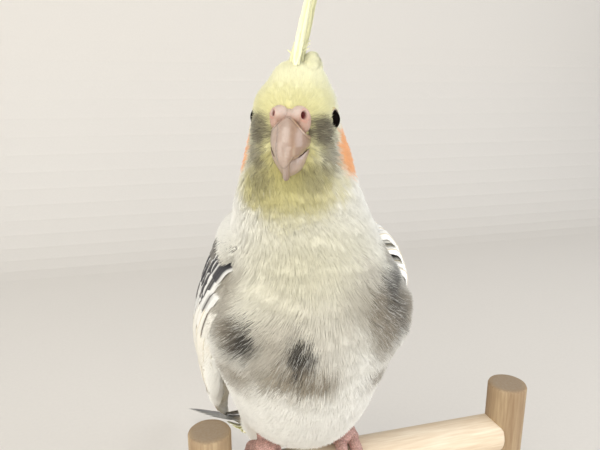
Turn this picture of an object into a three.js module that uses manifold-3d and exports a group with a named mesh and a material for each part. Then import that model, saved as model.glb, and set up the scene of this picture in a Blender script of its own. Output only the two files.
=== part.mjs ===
// A life-size cockatiel, perched on a wooden dowel between two upright rods on a flat base.
// Millimetres, +Z up. The origin is the centre of the underside of the base.
// The perch runs along X, and the bird faces -Y with its left side towards +X.
// Inside the bird group the origin is midway between the feet, a little above the perch.

import * as THREE from 'three';
import { mergeVertices } from 'three/addons/utils/BufferGeometryUtils.js';
import Module from 'manifold-3d';

const wasm = await Module();
wasm.setup();

// Gap between touching pieces
const GAP = 0.3;

// Stand
const BASE_LENGTH = 164;
const BASE_WIDTH = 112;
const BASE_THICK = 10;
const BASE_CORNER = 14;
const BASE_BEVEL = 1.2;
const DOWEL_R = 7.5;
const PERCH_TOP = 92.1;
const ROD_RISE = 14.2;
const ROD_LEFT_X = 60.1;
const ROD_RIGHT_X = -60.1;
const PERCH_Y = -14;
const BIRD_X = -25;
const BIRD_Z = 96;

// Head, measured from the midpoint between the eyes
const HEAD_PLACE = [-3.2, 2.9, 117.1];
const HEAD_TURN = -21.5;
const HEAD_ROLL = 2;
const EYE_R = 3.5;
const EYE_X = 10.7;
const EYE_Y = -4.2;
const LID_R = 3.1;
const LID_THICK = 0.75;
const EYE_FACING = 69;
const CERE_BULB_X = 3.2;
const NOSTRIL_X = 4.5;
const NOSTRIL_R = 0.8;

// Crest
const CREST_LENGTH = 50;
const CREST_LEAN = 9;

// Feet, with the perch's top measured down from the bird's origin
const FOOT_X = 15;
const PERCH_DROP = BIRD_Z - PERCH_TOP;
const TOE_R = 2.4;
const CLAW_LENGTH = 7;

// Tail, in degrees and millimetres, with the slope below the horizontal
const TAIL_SWING = 15.1;
const TAIL_SLOPE = 26.3;
const TAIL_ROLL = -20;
const TAIL_LENGTH = 133;
const TAIL_PAIRS = 6;

// Thickness of a feather plate at its quill and at its tip
const VANE_THICK = 0.7;
const VANE_TIP = 0.5;

// Outline rows of the head, from the neck up to the crown. Each row is a tilted oval:
// its front and back points are [y, z] and half is its half width.
const HEAD_ROWS = [
  { front: [-12.5, -17.5], back: [14.5, -15], half: 18.8, side: 1.5 },
  { front: [-12.9, -12], back: [16.6, -8.5], half: 17.3, side: 1.2 },
  { front: [-13.1, -6.5], back: [17.5, -2.5], half: 15.4, side: 0.5 },
  { front: [-13.3, -1], back: [17.4, 3], half: 14.1, side: 0.1 },
  { front: [-13.4, 4], back: [16.1, 8], half: 13.2, side: 0.2 },
  { front: [-12, 9], back: [13.5, 12.4], half: 11.2, side: 0.5 },
  { front: [-9, 13], back: [9.8, 15.9], half: 8.3, side: 0.7 },
  { front: [-5.2, 16], back: [5.6, 17.9], half: 5.2, side: 0.7 },
  { front: [-1.4, 17.7], back: [1.6, 18.4], half: 1.6, side: 0.7 },
];

// Outline rows of the torso, from the neck down to the tail. turn is the row's heading
// in degrees about the vertical, and side moves its middle along X.
const TORSO_ROWS = [
  { front: [-17.5, 86], back: [22, 91.5], half: 22.4, turn: -8, side: -1.6 },
  { front: [-23.2, 76], back: [27, 82], half: 25, turn: -3, side: -0.6 },
  { front: [-27.2, 64], back: [32, 71], half: 28.5, turn: 0, side: 0 },
  { front: [-29, 51], back: [36.5, 60], half: 31, turn: 0, side: 0 },
  { front: [-28.2, 38], back: [40.5, 49], half: 31.4, turn: 0, side: 0 },
  { front: [-24.5, 25], back: [44, 38], half: 29.6, turn: 0, side: 0 },
  { front: [-18.8, 12.4], back: [47.5, 27], half: 26.8, turn: 0, side: 0 },
  { front: [-10, 3], back: [51, 17], half: 23.8, turn: 0, side: 0 },
  { front: [4, -2.5], back: [54, 7], half: 21.6, turn: 1, side: 0 },
  { front: [18, -12], back: [56.5, -1], half: 19.4, turn: 3, side: -0.5 },
  { front: [32, -23], back: [57.5, -9], half: 16.4, turn: 7, side: -1.2 },
  { front: [44.5, -33.5], back: [54, -16.5], half: 13, turn: 11, side: -2.2 },
];

// The swelling of flank feathers in front of each wing, left side positive X: its centre in
// Y and Z, how far it reaches along Y, up and down, and how far it pushes the side out
const FLANKS = [
  { side: 1, centre: [-5, 49], reach: [17, 20, 13], push: 8.4 },
  { side: -1, centre: [-5, 43], reach: [17, 20, 14], push: 3.6 },
];

// Outline of the upper beak: front is the ridge of the bill and back its inner line
const UPPER_BEAK_ROWS = [
  { front: [-11.5, 3.6], back: [-6.5, -8.5], half: 5.2 },
  { front: [-16.6, -0.4], back: [-9.5, -10.6], half: 6 },
  { front: [-19.4, -4.8], back: [-12.2, -12], half: 5.8 },
  { front: [-20.6, -9], back: [-14.4, -12.8], half: 4.1 },
  { front: [-20.4, -12.9], back: [-16.2, -13.8], half: 2.7 },
  { front: [-19.3, -15.6], back: [-17, -15], half: 1.5 },
  { front: [-18.1, -17.3], back: [-17.4, -16.8], half: 0.5 },
];

// Outline of the lower beak, a scoop open upward, from its keel to its rim
const LOWER_BEAK_ROWS = [
  { front: [-12.5, -17.4], back: [-7, -17.4], half: 1.8 },
  { front: [-15.6, -15.9], back: [-6.5, -16], half: 3.6 },
  { front: [-17, -13.2], back: [-6, -13.2], half: 5.1 },
  { front: [-16.6, -10.4], back: [-5.5, -9.6], half: 6 },
];

// Stations of the folded wing from the shoulder to the tip: its leading edge, the line
// where it stands out most, and its rear edge along the back. X is outward from the midline,
// and tuck moves the first two outward on the left wing and on the right wing.
const WING_STATIONS = [
  { lead: [25, -3, 81], out: [26.6, 9, 82], rear: [8, 23.5, 90], tuck: [-5, -5] },
  { lead: [29.6, -5, 67], out: [31.6, 12, 68], rear: [8, 33.5, 74.5], tuck: [1, -2.6] },
  { lead: [31.8, -1, 49], out: [33.8, 15, 50], rear: [7.5, 42, 57], tuck: [2, 0.4] },
  { lead: [31.4, 10, 30], out: [33.4, 23, 31], rear: [7, 49, 38] },
  { lead: [29.2, 24, 12], out: [31.4, 34, 13], rear: [7, 56, 18] },
  { lead: [26, 44, -8], out: [27.4, 50, -6.5], rear: [7.5, 62.5, -3] },
  { lead: [22, 67, -27], out: [22.6, 71, -25], rear: [12, 74.5, -23] },
  { lead: [18.4, 88.5, -43.5], out: [18, 89.5, -42.5], rear: [16.6, 90, -42] },
];

const radians = THREE.MathUtils.degToRad;
const mix = THREE.MathUtils.lerp;
const clamp = THREE.MathUtils.clamp;
const UP = new THREE.Vector3(0, 0, 1);

// Seeded draws, so that feathers vary the same way each time
const WING_SEED = 7;
const CREST_SEED = 19;
const TAIL_SEED = 31;
let drawState = WING_SEED;
function draw(spread) {
  drawState = (drawState * 16807) % 2147483647;
  return (drawState / 2147483647 - 0.5) * 2 * spread;
}

// Smooth value through four neighbours, at fraction f between the middle two
function smoothValue(a, b, c, d, f) {
  const bend = 2 * a - 5 * b + 4 * c - d;
  const twist = 3 * b - a - 3 * c + d;
  return 0.5 * (2 * b + (c - a) * f + bend * f * f + twist * f * f * f);
}

// A row anywhere between the rows of a table
function rowAt(table, t) {
  const first = clamp(Math.floor(t), 0, table.length - 2);
  const pick = (k) => table[clamp(first + k, 0, table.length - 1)];
  const blend = (read) =>
    smoothValue(read(pick(-1)), read(pick(0)), read(pick(1)), read(pick(2)), t - first);
  return {
    front: [blend((r) => r.front[0]), blend((r) => r.front[1])],
    back: [blend((r) => r.back[0]), blend((r) => r.back[1])],
    half: blend((r) => r.half),
    turn: blend((r) => r.turn ?? 0),
    side: blend((r) => r.side ?? 0),
  };
}

// The oval of a row: full is how square its outline is, 2 for an ellipse
function ovalOf(row, sides, grow = 0, full = 2.1) {
  const turn = radians(row.turn);
  const depth = new THREE.Vector3(0, row.back[0] - row.front[0], row.back[1] - row.front[1]);
  const halfDepth = depth.length() / 2 + grow;
  const along = depth.normalize().applyAxisAngle(UP, turn);
  const across = new THREE.Vector3(Math.cos(turn), Math.sin(turn), 0);
  const middle = new THREE.Vector3(
    row.side,
    (row.front[0] + row.back[0]) / 2,
    (row.front[1] + row.back[1]) / 2,
  );
  const power = 2 / full;
  const ring = [];
  for (let i = 0; i < sides; i++) {
    const angle = (i / sides) * Math.PI * 2;
    const wide = Math.sign(Math.cos(angle)) * Math.abs(Math.cos(angle)) ** power;
    const deep = Math.sign(Math.sin(angle)) * Math.abs(Math.sin(angle)) ** power;
    ring.push(
      middle
        .clone()
        .addScaledVector(across, wide * (row.half + grow))
        .addScaledVector(along, deep * halfDepth),
    );
  }
  return ring;
}

function middleOf(ring) {
  const middle = new THREE.Vector3();
  ring.forEach((p) => middle.add(p));
  return middle.multiplyScalar(1 / ring.length);
}

function moved(ring, offset) {
  return ring.map((p) => p.clone().add(offset));
}

function signedVolume(points, index) {
  let volume = 0;
  const cross = new THREE.Vector3();
  for (let i = 0; i < index.length; i += 3) {
    cross.crossVectors(points[index[i + 1]], points[index[i + 2]]);
    volume += points[index[i]].dot(cross) / 6;
  }
  return volume;
}

// A closed skin over rings of equal count, with a flat cap at each end
function loft(rings) {
  const sides = rings[0].length;
  const points = rings.flat();
  const index = [];
  for (let r = 0; r + 1 < rings.length; r++) {
    for (let i = 0; i < sides; i++) {
      const a = r * sides + i;
      const b = r * sides + ((i + 1) % sides);
      index.push(a, b, b + sides, a, b + sides, a + sides);
    }
  }
  const cap = (ring, start, flip) => {
    points.push(middleOf(ring));
    for (let i = 0; i < sides; i++) {
      const a = start + i;
      const b = start + ((i + 1) % sides);
      index.push(points.length - 1, ...(flip ? [b, a] : [a, b]));
    }
  };
  cap(rings[0], 0, true);
  cap(rings.at(-1), (rings.length - 1) * sides, false);
  if (signedVolume(points, index) < 0) {
    index.reverse();
  }
  const geometry = new THREE.BufferGeometry().setFromPoints(points);
  geometry.setIndex(index);
  return geometry;
}

// A closed geometry as a solid that can be joined and cut
function solidOf(geometry) {
  const bare = geometry.clone();
  bare.deleteAttribute('normal');
  bare.deleteAttribute('uv');
  const merged = mergeVertices(bare);
  return new wasm.Manifold(
    new wasm.Mesh({
      numProp: 3,
      vertProperties: merged.attributes.position.array,
      triVerts: new Uint32Array(merged.index.array),
    }),
  );
}

function union(solids) {
  return solids.reduce((whole, piece) => whole.add(piece));
}

// The largest closed body of a solid
function largest(solid) {
  return solid.decompose().reduce((a, b) => (a.volume() > b.volume() ? a : b));
}

function material(color, roughness, metalness = 0) {
  return new THREE.MeshStandardMaterial({ color, roughness, metalness });
}

// A solid as a named mesh
function meshOf(name, solid, look) {
  const result = largest(solid).getMesh();
  const geometry = new THREE.BufferGeometry();
  geometry.setAttribute('position', new THREE.BufferAttribute(result.vertProperties, 3));
  geometry.setIndex(new THREE.BufferAttribute(result.triVerts, 1));
  geometry.computeVertexNormals();
  const mesh = new THREE.Mesh(geometry, look);
  mesh.name = name;
  return mesh;
}

function ball(centre, radii, detail = [16, 10]) {
  const geometry = new THREE.SphereGeometry(1, ...detail);
  geometry.scale(...radii);
  geometry.translate(...centre);
  return geometry;
}

// Rings along a line of points, each an ellipse across the line. radii(s) gives its
// two radii, and up is the direction of the second one.
function tube(points, radii, up, sides) {
  const curve = new THREE.CatmullRomCurve3(points.map((p) => new THREE.Vector3(...p)));
  const steps = Math.max(points.length - 1, 4);
  const rings = [];
  for (let k = 0; k <= steps; k++) {
    const s = k / steps;
    const centre = curve.getPoint(s);
    const tangent = curve.getTangent(s);
    const across = new THREE.Vector3().crossVectors(tangent, up).normalize();
    const over = new THREE.Vector3().crossVectors(across, tangent).normalize();
    const [wide, high] = radii(s);
    const ring = [];
    for (let i = 0; i < sides; i++) {
      const angle = (i / sides) * Math.PI * 2;
      ring.push(
        centre
          .clone()
          .addScaledVector(across, Math.cos(angle) * wide)
          .addScaledVector(over, Math.sin(angle) * high),
      );
    }
    rings.push(ring);
  }
  return loft(rings);
}

// One feather plate, split into triangles alike on both faces. Each frame has a point on the
// shaft, the direction across the vane and the direction it faces; wide(s) is the half width
// at fraction s of the length, and grow thickens the plate all round.
function vane(frames, wide, grow = 0) {
  const points = [];
  const index = [];
  frames.forEach(({ point, across, facing }, k) => {
    const s = k / (frames.length - 1);
    const half = mix(VANE_THICK, VANE_TIP, s) / 2 + grow;
    const side = wide(s) + grow;
    for (const [x, z] of [[1, half], [-1, half], [-1, -half], [1, -half]]) {
      points.push(
        point.clone().addScaledVector(across, x * side).addScaledVector(facing, z),
      );
    }
    if (k === 0) {
      return;
    }
    const [a, b, c, d] = [0, 1, 2, 3].map((i) => 4 * (k - 1) + i);
    const [e, f, g, h] = [a, b, c, d].map((i) => i + 4);
    index.push(a, b, f, a, f, e, b, c, g, b, g, f, d, a, e, d, e, h, c, d, g, d, h, g);
  });
  const [e, f, g, h] = [4, 3, 2, 1].map((i) => points.length - i);
  index.push(0, 2, 1, 0, 3, 2, e, f, g, e, g, h);
  if (signedVolume(points, index) < 0) {
    index.reverse();
  }
  const geometry = new THREE.BufferGeometry().setFromPoints(points);
  geometry.setIndex(index);
  return geometry;
}

// Half width of a feather: narrow at the quill, full past the middle, round or pointed tip
function featherWidth(half, point = 0.5) {
  return (s) => {
    const quill = mix(0.5, 1, clamp(s / 0.3, 0, 1));
    const tip = Math.sqrt(Math.max(0, 1 - Math.max(0, (s - point) / (1.02 - point)) ** 2));
    return half * quill * Math.max(tip, 0.12);
  };
}

// Wing surface: u runs from the shoulder to the tip, v from the leading to the rear edge
const OUT_AT = 0.38;
function wingSurface(side) {
  const edge = (name, tucked) =>
    new THREE.CatmullRomCurve3(
      WING_STATIONS.map((s) => {
        const tuck = s.tuck ? s.tuck[side > 0 ? 0 : 1] : 0;
        const x = s[name][0] + (tucked ? tuck : 0);
        return new THREE.Vector3(side * x, s[name][1], s[name][2]);
      }),
    );
  const lead = edge('lead', true);
  const out = edge('out', true);
  const rear = edge('rear', false);
  const place = (u, v) => {
    const a = ((v - OUT_AT) * (v - 1)) / OUT_AT;
    const b = (v * (v - 1)) / (OUT_AT * (OUT_AT - 1));
    const c = (v * (v - OUT_AT)) / (1 - OUT_AT);
    return new THREE.Vector3()
      .addScaledVector(lead.getPoint(u), a)
      .addScaledVector(out.getPoint(u), b)
      .addScaledVector(rear.getPoint(u), c);
  };
  const shift = side > 0 ? LEFT_TIP_SHIFT : [0, 0, 0];
  const at = (u, v) => {
    const far = clamp((u - 0.55) / 0.45, 0, 1) ** 2;
    return place(u, v).add(new THREE.Vector3(...shift).multiplyScalar(far));
  };
  const step = 0.01;
  const facing = (u, v) => {
    const u0 = clamp(u - step, 0, 1 - 2 * step);
    const v0 = clamp(v - step, 0, 1 - 2 * step);
    const du = at(u0 + 2 * step, v).sub(at(u0, v));
    const dv = at(u, v0 + 2 * step).sub(at(u, v0));
    return new THREE.Vector3().crossVectors(du, dv).multiplyScalar(side).normalize();
  };
  return { at, facing, side };
}

// The tail swings to the right, so the left wing's tip rests a little nearer the midline
const LEFT_TIP_SHIFT = [-14, -4, 3];

// A plate on the wing surface between two lifts, over a range of u and v
function wingPlate(surface, [u0, u1], [v0, v1], thick, steps) {
  const rings = [];
  for (let k = 0; k <= steps[0]; k++) {
    const u = mix(u0, u1, k / steps[0]);
    const ends = Math.sqrt(1 - (2 * (k / steps[0]) - 1) ** 4 * 0.9);
    const middle = (v0 + v1) / 2;
    const ring = [];
    for (const top of [true, false]) {
      for (let i = 0; i <= steps[1]; i++) {
        const share = top ? i / steps[1] : 1 - i / steps[1];
        const v = mix(middle, mix(v0, v1, share), ends);
        const edge = Math.min(share, 1 - share) < 0.01;
        const lift = top ? (edge ? -1 : -0.6) : -thick;
        ring.push(surface.at(u, v).addScaledVector(surface.facing(u, v), lift));
      }
    }
    rings.push(ring);
  }
  return loft(rings);
}

// A feather laid on the wing surface from root [u, v] to tip [u, v], rising from inside
// the plate to its own lift, with one edge tilted up over its neighbour
function wingFeather(surface, root, tip, half, lift, steps, point) {
  const along = (s) => [mix(root[0], tip[0], s), mix(root[1], tip[1], s)];
  const frames = [];
  for (let k = 0; k <= steps; k++) {
    const s = k / steps;
    const [u, v] = along(s);
    const facing = surface.facing(u, v);
    const way = surface.at(...along(Math.min(1, s + 0.05)));
    way.sub(surface.at(...along(Math.max(0, s - 0.05)))).normalize();
    const across = new THREE.Vector3().crossVectors(facing, way).normalize();
    const rise = mix(ROOT_DEPTH, lift, clamp(s / 0.3, 0, 1));
    frames.push({
      point: surface.at(u, v).addScaledVector(facing, rise),
      across: across.applyAxisAngle(way, surface.side * SHINGLE_TILT),
      facing,
    });
  }
  return solidOf(vane(frames, featherWidth(half, point)));
}

// The feather tiers of one wing, from the lowest to the topmost. root and tip give [u, v] at
// the leading end and at the rear end of a tier, and half and lift run between two values.
const ROOT_DEPTH = -2.4;
const SHINGLE_TILT = 0.16;
const WING_TIERS = [
  {
    count: 4,
    root: [[0.32, 0.16], [0.42, 0.5]],
    tip: [[0.995, 0.4], [0.78, 0.66]],
    half: [4.4, 5.6],
    lift: [-0.4, 0],
    steps: 4,
    point: 0.6,
  },
  {
    count: 5,
    root: [[0.32, 0.26], [0.42, 0.82]],
    tip: [[0.66, 0.26], [0.72, 0.9]],
    half: [6.4, 6.4],
    lift: [0.9, 1.1],
    steps: 4,
    point: 0.7,
  },
  {
    count: 2,
    root: [[0.36, 0.8], [0.3, 0.9]],
    tip: [[0.68, 0.86], [0.58, 0.97]],
    half: [6, 6.4],
    lift: [2, 2.1],
    steps: 4,
    point: 0.6,
  },
  {
    count: 6,
    root: [[0.22, 0.08], [0.28, 0.88]],
    tip: [[0.46, 0.1], [0.5, 0.93]],
    half: [5.4, 6],
    lift: [1.8, 2.1],
    steps: 3,
    point: 0.6,
  },
  {
    count: 5,
    root: [[0.05, 0.14], [0.12, 0.84]],
    tip: [[0.29, 0.12], [0.32, 0.9]],
    half: [5.6, 6.2],
    lift: [2.9, 3.1],
    steps: 3,
    point: 0.5,
  },
];

function wing(side, carrier) {
  drawState = WING_SEED;
  const surface = wingSurface(side);
  const pieces = [solidOf(wingPlate(surface, [0, 0.6], [0.03, 0.97], 5, [7, 5]))];
  for (const { count, root, tip, half, lift, steps, point } of WING_TIERS) {
    for (let i = 0; i < count; i++) {
      const f = i / (count - 1);
      const pair = ([a, b]) => [mix(a[0], b[0], f), mix(a[1], b[1], f)];
      const end = pair(tip);
      end[0] = Math.min(end[0] + draw(0.008), 0.998);
      pieces.push(
        wingFeather(surface, pair(root), end, mix(...half, f), mix(...lift, f), steps, point),
      );
    }
  }
  return union(pieces).subtract(carrier);
}

// Head, neck and torso
const HEAD_SIDES = 24;
const TORSO_SIDES = 26;

function headRing(t, grow = 0) {
  return ovalOf(rowAt(HEAD_ROWS, t), HEAD_SIDES, grow);
}

function headSolid(grow) {
  const steps = 11;
  const rings = [];
  for (let k = 0; k <= steps; k++) {
    rings.push(headRing(((HEAD_ROWS.length - 1) * k) / steps, grow));
  }
  return solidOf(loft(rings));
}

function eyeCentre(side) {
  return [side * EYE_X, EYE_Y, 0];
}

// The lids: a thin ring round the eye, facing outward and forward
function lids(side) {
  const ring = new THREE.TorusGeometry(LID_R, LID_THICK, 5, 14);
  ring.scale(0.94, 1.08, 1);
  ring.rotateX(Math.PI / 2);
  ring.translate(0, -1.9, 0);
  ring.rotateZ(radians(side * EYE_FACING));
  ring.translate(...eyeCentre(side));
  return ring;
}

function eyeball(side, grow = 0) {
  const r = EYE_R + grow;
  return solidOf(ball(eyeCentre(side), [r, r, r], [12, 8]));
}

function beakSolid(rows, grow, full) {
  const steps = Math.round((rows.length - 1) * 1.67);
  const rings = [];
  for (let k = 0; k <= steps; k++) {
    rings.push(ovalOf(rowAt(rows, ((rows.length - 1) * k) / steps), 14, grow, full));
  }
  return solidOf(loft(rings));
}

// Two bulbs of bare skin above the beak, joined across the middle, with a nostril in each
function cereSolid(grow = 0) {
  const bulb = (side) =>
    solidOf(ball([side * CERE_BULB_X, -13.9, 1.6], [3 + grow, 2.9 + grow, 2.9 + grow], [12, 8]));
  const bridge = solidOf(ball([0, -12.9, 0.8], [5 + grow, 3 + grow, 2.7 + grow], [12, 8]));
  return union([bridge, bulb(1), bulb(-1)]);
}

function nostril(side) {
  const hole = new THREE.CylinderGeometry(NOSTRIL_R, NOSTRIL_R * 0.7, 3, 8);
  hole.scale(1, 1, 1.25);
  hole.rotateZ(radians(side * 22));
  hole.translate(side * NOSTRIL_X, -16.2, 1.6);
  return solidOf(hole);
}

// The patch of the crown that the crest grows from
function crownPatch(grow) {
  return solidOf(ball([0, 0.5, 17], [6 + grow, 9.5 + grow, 4.4 + grow], [14, 8]));
}

// One crest feather: a root on the crown, a length, a lean to the side and back
function crestFeather(x, y, length, lean, back, half) {
  const frames = [];
  const steps = 4;
  const root = new THREE.Vector3(x, y, 17.2 - (y * y) / 60);
  for (let k = 0; k <= steps; k++) {
    const s = k / steps;
    const pitch = radians(back + 26 * s * s);
    const way = new THREE.Vector3(0, Math.sin(pitch), Math.cos(pitch));
    way.applyAxisAngle(new THREE.Vector3(0, 1, 0), radians(lean));
    if (k > 0) {
      root.addScaledVector(way, length / steps);
    }
    const across = new THREE.Vector3(1, 0, 0).applyAxisAngle(
      new THREE.Vector3(0, 1, 0),
      radians(lean),
    );
    frames.push({
      point: root.clone(),
      across,
      facing: new THREE.Vector3().crossVectors(way, across).normalize(),
    });
  }
  return solidOf(vane(frames, featherWidth(half, 0.35)));
}

function crestFeathers() {
  drawState = CREST_SEED;
  const feathers = [];
  const count = 8;
  for (let i = 0; i < count; i++) {
    const f = i / (count - 1);
    const length = mix(14, CREST_LENGTH, f ** 0.7);
    const lean = CREST_LEAN + draw(1.4);
    feathers.push(crestFeather(0.5 + draw(0.5), mix(-5.5, 7, f), length, lean, mix(-6, 12, f), 1.3));
  }
  for (let i = 0; i < 3; i++) {
    feathers.push(crestFeather(2.2 + i * 0.5, -1 + i * 3, 8 - i, 18 + i * 6, 8 + i * 12, 1.2));
  }
  feathers.push(crestFeather(-2, 1, 5, -6, 10, 1.1));
  return feathers;
}

function buildHead(look) {
  const group = new THREE.Group();
  const grown = headSolid(GAP);
  const upper = beakSolid(UPPER_BEAK_ROWS, 0, 1.9);
  const upperGrown = beakSolid(UPPER_BEAK_ROWS, GAP, 1.9);
  const lower = beakSolid(LOWER_BEAK_ROWS, 0, 2);
  const eyes = [eyeball(1, GAP), eyeball(-1, GAP)];
  const lidPair = [solidOf(lids(1)), solidOf(lids(-1))];
  const head = union([headSolid(0), ...lidPair])
    .subtract(union(eyes))
    .subtract(crownPatch(GAP));
  const crown = headSolid(0).intersect(crownPatch(0));
  const cere = cereSolid()
    .subtract(grown)
    .subtract(upperGrown)
    .subtract(union([nostril(1), nostril(-1)]));
  group.add(
    meshOf('head', head, look.crown),
    meshOf('crest', union([crown, ...crestFeathers()]), look.crest),
    meshOf('cere', cere, look.cere),
    meshOf('beak_upper', upper.subtract(grown), look.beak),
    meshOf('beak_lower', lower.subtract(grown).subtract(upperGrown), look.beak),
    meshOf('eye_left', eyeball(1), look.eye),
    meshOf('eye_right', eyeball(-1), look.eye),
  );
  group.position.set(...HEAD_PLACE);
  group.rotation.set(0, radians(HEAD_ROLL), radians(HEAD_TURN), 'ZYX');
  return group;
}

// Pushes a point of the torso out to the side where flank feathers swell it
function swollen(p) {
  for (const { side, centre, reach, push } of FLANKS) {
    const ahead = (p.y - centre[0]) / reach[0];
    const above = p.z - centre[1];
    const high = above / (above > 0 ? reach[1] : reach[2]);
    const flank = clamp((side * p.x) / 26, 0, 1) ** 2;
    p.x += side * push * flank * Math.exp(-ahead * ahead - high * high);
  }
  return p;
}

function torsoRing(t, grow = 0) {
  return ovalOf(rowAt(TORSO_ROWS, t), TORSO_SIDES, grow, 2).map(swollen);
}

function torsoSolid(grow) {
  const last = TORSO_ROWS.length - 1;
  const steps = 16;
  const rings = [];
  for (let k = 0; k <= steps; k++) {
    rings.push(torsoRing((last * k) / steps, grow));
  }
  return solidOf(loft(rings));
}

// The neck: point by point from the lowest ring of the head to the first ring of the torso
function neckSolid(headGroup) {
  headGroup.updateMatrix();
  const resample = (ring) =>
    ring.map((p) => p.clone().applyMatrix4(headGroup.matrix));
  const neckRing = (t) => resample(ovalOf(rowAt(HEAD_ROWS, t), TORSO_SIDES));
  const above = neckRing(0.6);
  const top = moved(neckRing(0), new THREE.Vector3(0, 0, -GAP));
  const bottom = moved(torsoRing(0), new THREE.Vector3(0, 0, GAP));
  const below = torsoRing(0.6);
  const steps = 5;
  const rings = [];
  for (let k = 0; k <= steps; k++) {
    const s = k / steps;
    rings.push(
      top.map((p, i) => {
        const leave = p.clone().sub(above[i]);
        const arrive = below[i].clone().sub(bottom[i]);
        const h01 = s * s * (3 - 2 * s);
        const h10 = s * (1 - s) * (1 - s);
        const h11 = s * s * (s - 1);
        return p
          .clone()
          .multiplyScalar(1 - h01)
          .addScaledVector(bottom[i], h01)
          .addScaledVector(leave, h10)
          .addScaledVector(arrive, h11);
      }),
    );
  }
  return solidOf(loft(rings));
}

// Legs and feet
const TOES = [
  { x: -2.3, front: true, sweep: 96, splay: -4 },
  { x: 2.3, front: true, sweep: 124, splay: 4 },
  { x: -2.8, front: false, sweep: 108, splay: -8 },
  { x: 2.8, front: false, sweep: 76, splay: 8 },
];

// A point at an angle round the dowel from its top, forward or back
function roundDowel(x, angle, radius, front) {
  const way = front ? -1 : 1;
  const a = radians(angle);
  return [x, way * radius * Math.sin(a), radius * Math.cos(a) - DOWEL_R - PERCH_DROP];
}

function toe(side, digit, grow) {
  const points = [];
  const steps = 5;
  for (let k = 0; k <= steps; k++) {
    const s = k / steps;
    const x = side * (FOOT_X + digit.x) + s * digit.splay * 0.28 * side;
    points.push(roundDowel(x, mix(-8, digit.sweep, s), DOWEL_R + GAP + TOE_R + 0.15, digit.front));
  }
  const radius = (s) => TOE_R * mix(1.02, 0.72, s) * (1 + 0.07 * Math.cos(s * 6 * Math.PI)) + grow;
  return solidOf(
    tube(points, (s) => [radius(s), radius(s) * 0.97], new THREE.Vector3(1, 0, 0), 8),
  );
}

function footSolid(side, grow = 0) {
  const palm = solidOf(
    ball(
      [side * FOOT_X, 0.4, 3.6 - PERCH_DROP],
      [4.8 + grow, 4.4 + grow, 3.4 + grow],
      [10, 6],
    ),
  );
  const shank = solidOf(
    tube(
      [
        [side * FOOT_X, 1, 3.6 - PERCH_DROP],
        [side * FOOT_X, 4, 8 - PERCH_DROP],
        [side * (FOOT_X - 0.6), 7.5, 13],
      ],
      () => [2.4 + grow, 2.6 + grow],
      new THREE.Vector3(1, 0, 0),
      8,
    ),
  );
  return union([palm, shank, ...TOES.map((digit) => toe(side, digit, grow))]);
}

function claw(side, digit) {
  const points = [];
  const steps = 4;
  const radius = DOWEL_R + GAP + TOE_R + 0.15;
  const start = digit.sweep + 2.6;
  const sweep = THREE.MathUtils.radToDeg(CLAW_LENGTH / radius);
  for (let k = 0; k <= steps; k++) {
    const s = k / steps;
    const x = side * (FOOT_X + digit.x) + digit.splay * 0.28 * side * (1 + 0.3 * s);
    points.push(roundDowel(x, start + sweep * s, radius - 0.5 * s, digit.front));
  }
  const taper = (s) => 1.15 * (1 - s) ** 0.75 + 0.14;
  return solidOf(tube(points, (s) => [taper(s), taper(s) * 1.1], new THREE.Vector3(1, 0, 0), 6));
}

function legSolid(side, grow = 0) {
  return solidOf(
    tube(
      [
        [side * 12.5, 9, 31],
        [side * 14, 8, 21],
        [side * FOOT_X, 5, 10.5],
        [side * FOOT_X, 3.4, 6.2],
      ],
      (s) => [mix(9, 4.6, s) + grow, mix(11, 5.6, s) + grow],
      new THREE.Vector3(1, 0, 0),
      14,
    ),
  );
}

// Tail: a short fleshy root, then feather plates in pairs from the outer to the central
function tailFrame() {
  const turn = radians(TAIL_SWING);
  const slope = radians(TAIL_SLOPE);
  const along = new THREE.Vector3(
    -Math.sin(turn) * Math.cos(slope),
    Math.cos(turn) * Math.cos(slope),
    -Math.sin(slope),
  );
  const across = new THREE.Vector3(Math.cos(turn), Math.sin(turn), 0);
  across.applyAxisAngle(along, radians(-TAIL_ROLL));
  const facing = new THREE.Vector3().crossVectors(across, along).normalize();
  return { along, across, facing, root: middleOf(torsoRing(TORSO_ROWS.length - 1)) };
}

function tailFeather(frame, { start, length, side, spread, lift, half, point, bend = 0 }, grow) {
  const steps = length > 60 ? 4 : 3;
  const frames = [];
  for (let k = 0; k <= steps; k++) {
    const s = k / steps;
    const far = start + length * s;
    const out = side * (1 + spread * clamp(far / TAIL_LENGTH, 0, 1));
    const rise = mix(lift * 0.2, lift, clamp(s / 0.25, 0, 1)) + bend * s * s;
    frames.push({
      point: frame.root
        .clone()
        .addScaledVector(frame.along, far)
        .addScaledVector(frame.across, out)
        .addScaledVector(frame.facing, rise),
      across: frame.across
        .clone()
        .addScaledVector(frame.facing, -0.08 * Math.sign(side))
        .normalize(),
      facing: frame.facing,
    });
  }
  return solidOf(vane(frames, featherWidth(half, point), grow));
}

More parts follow.
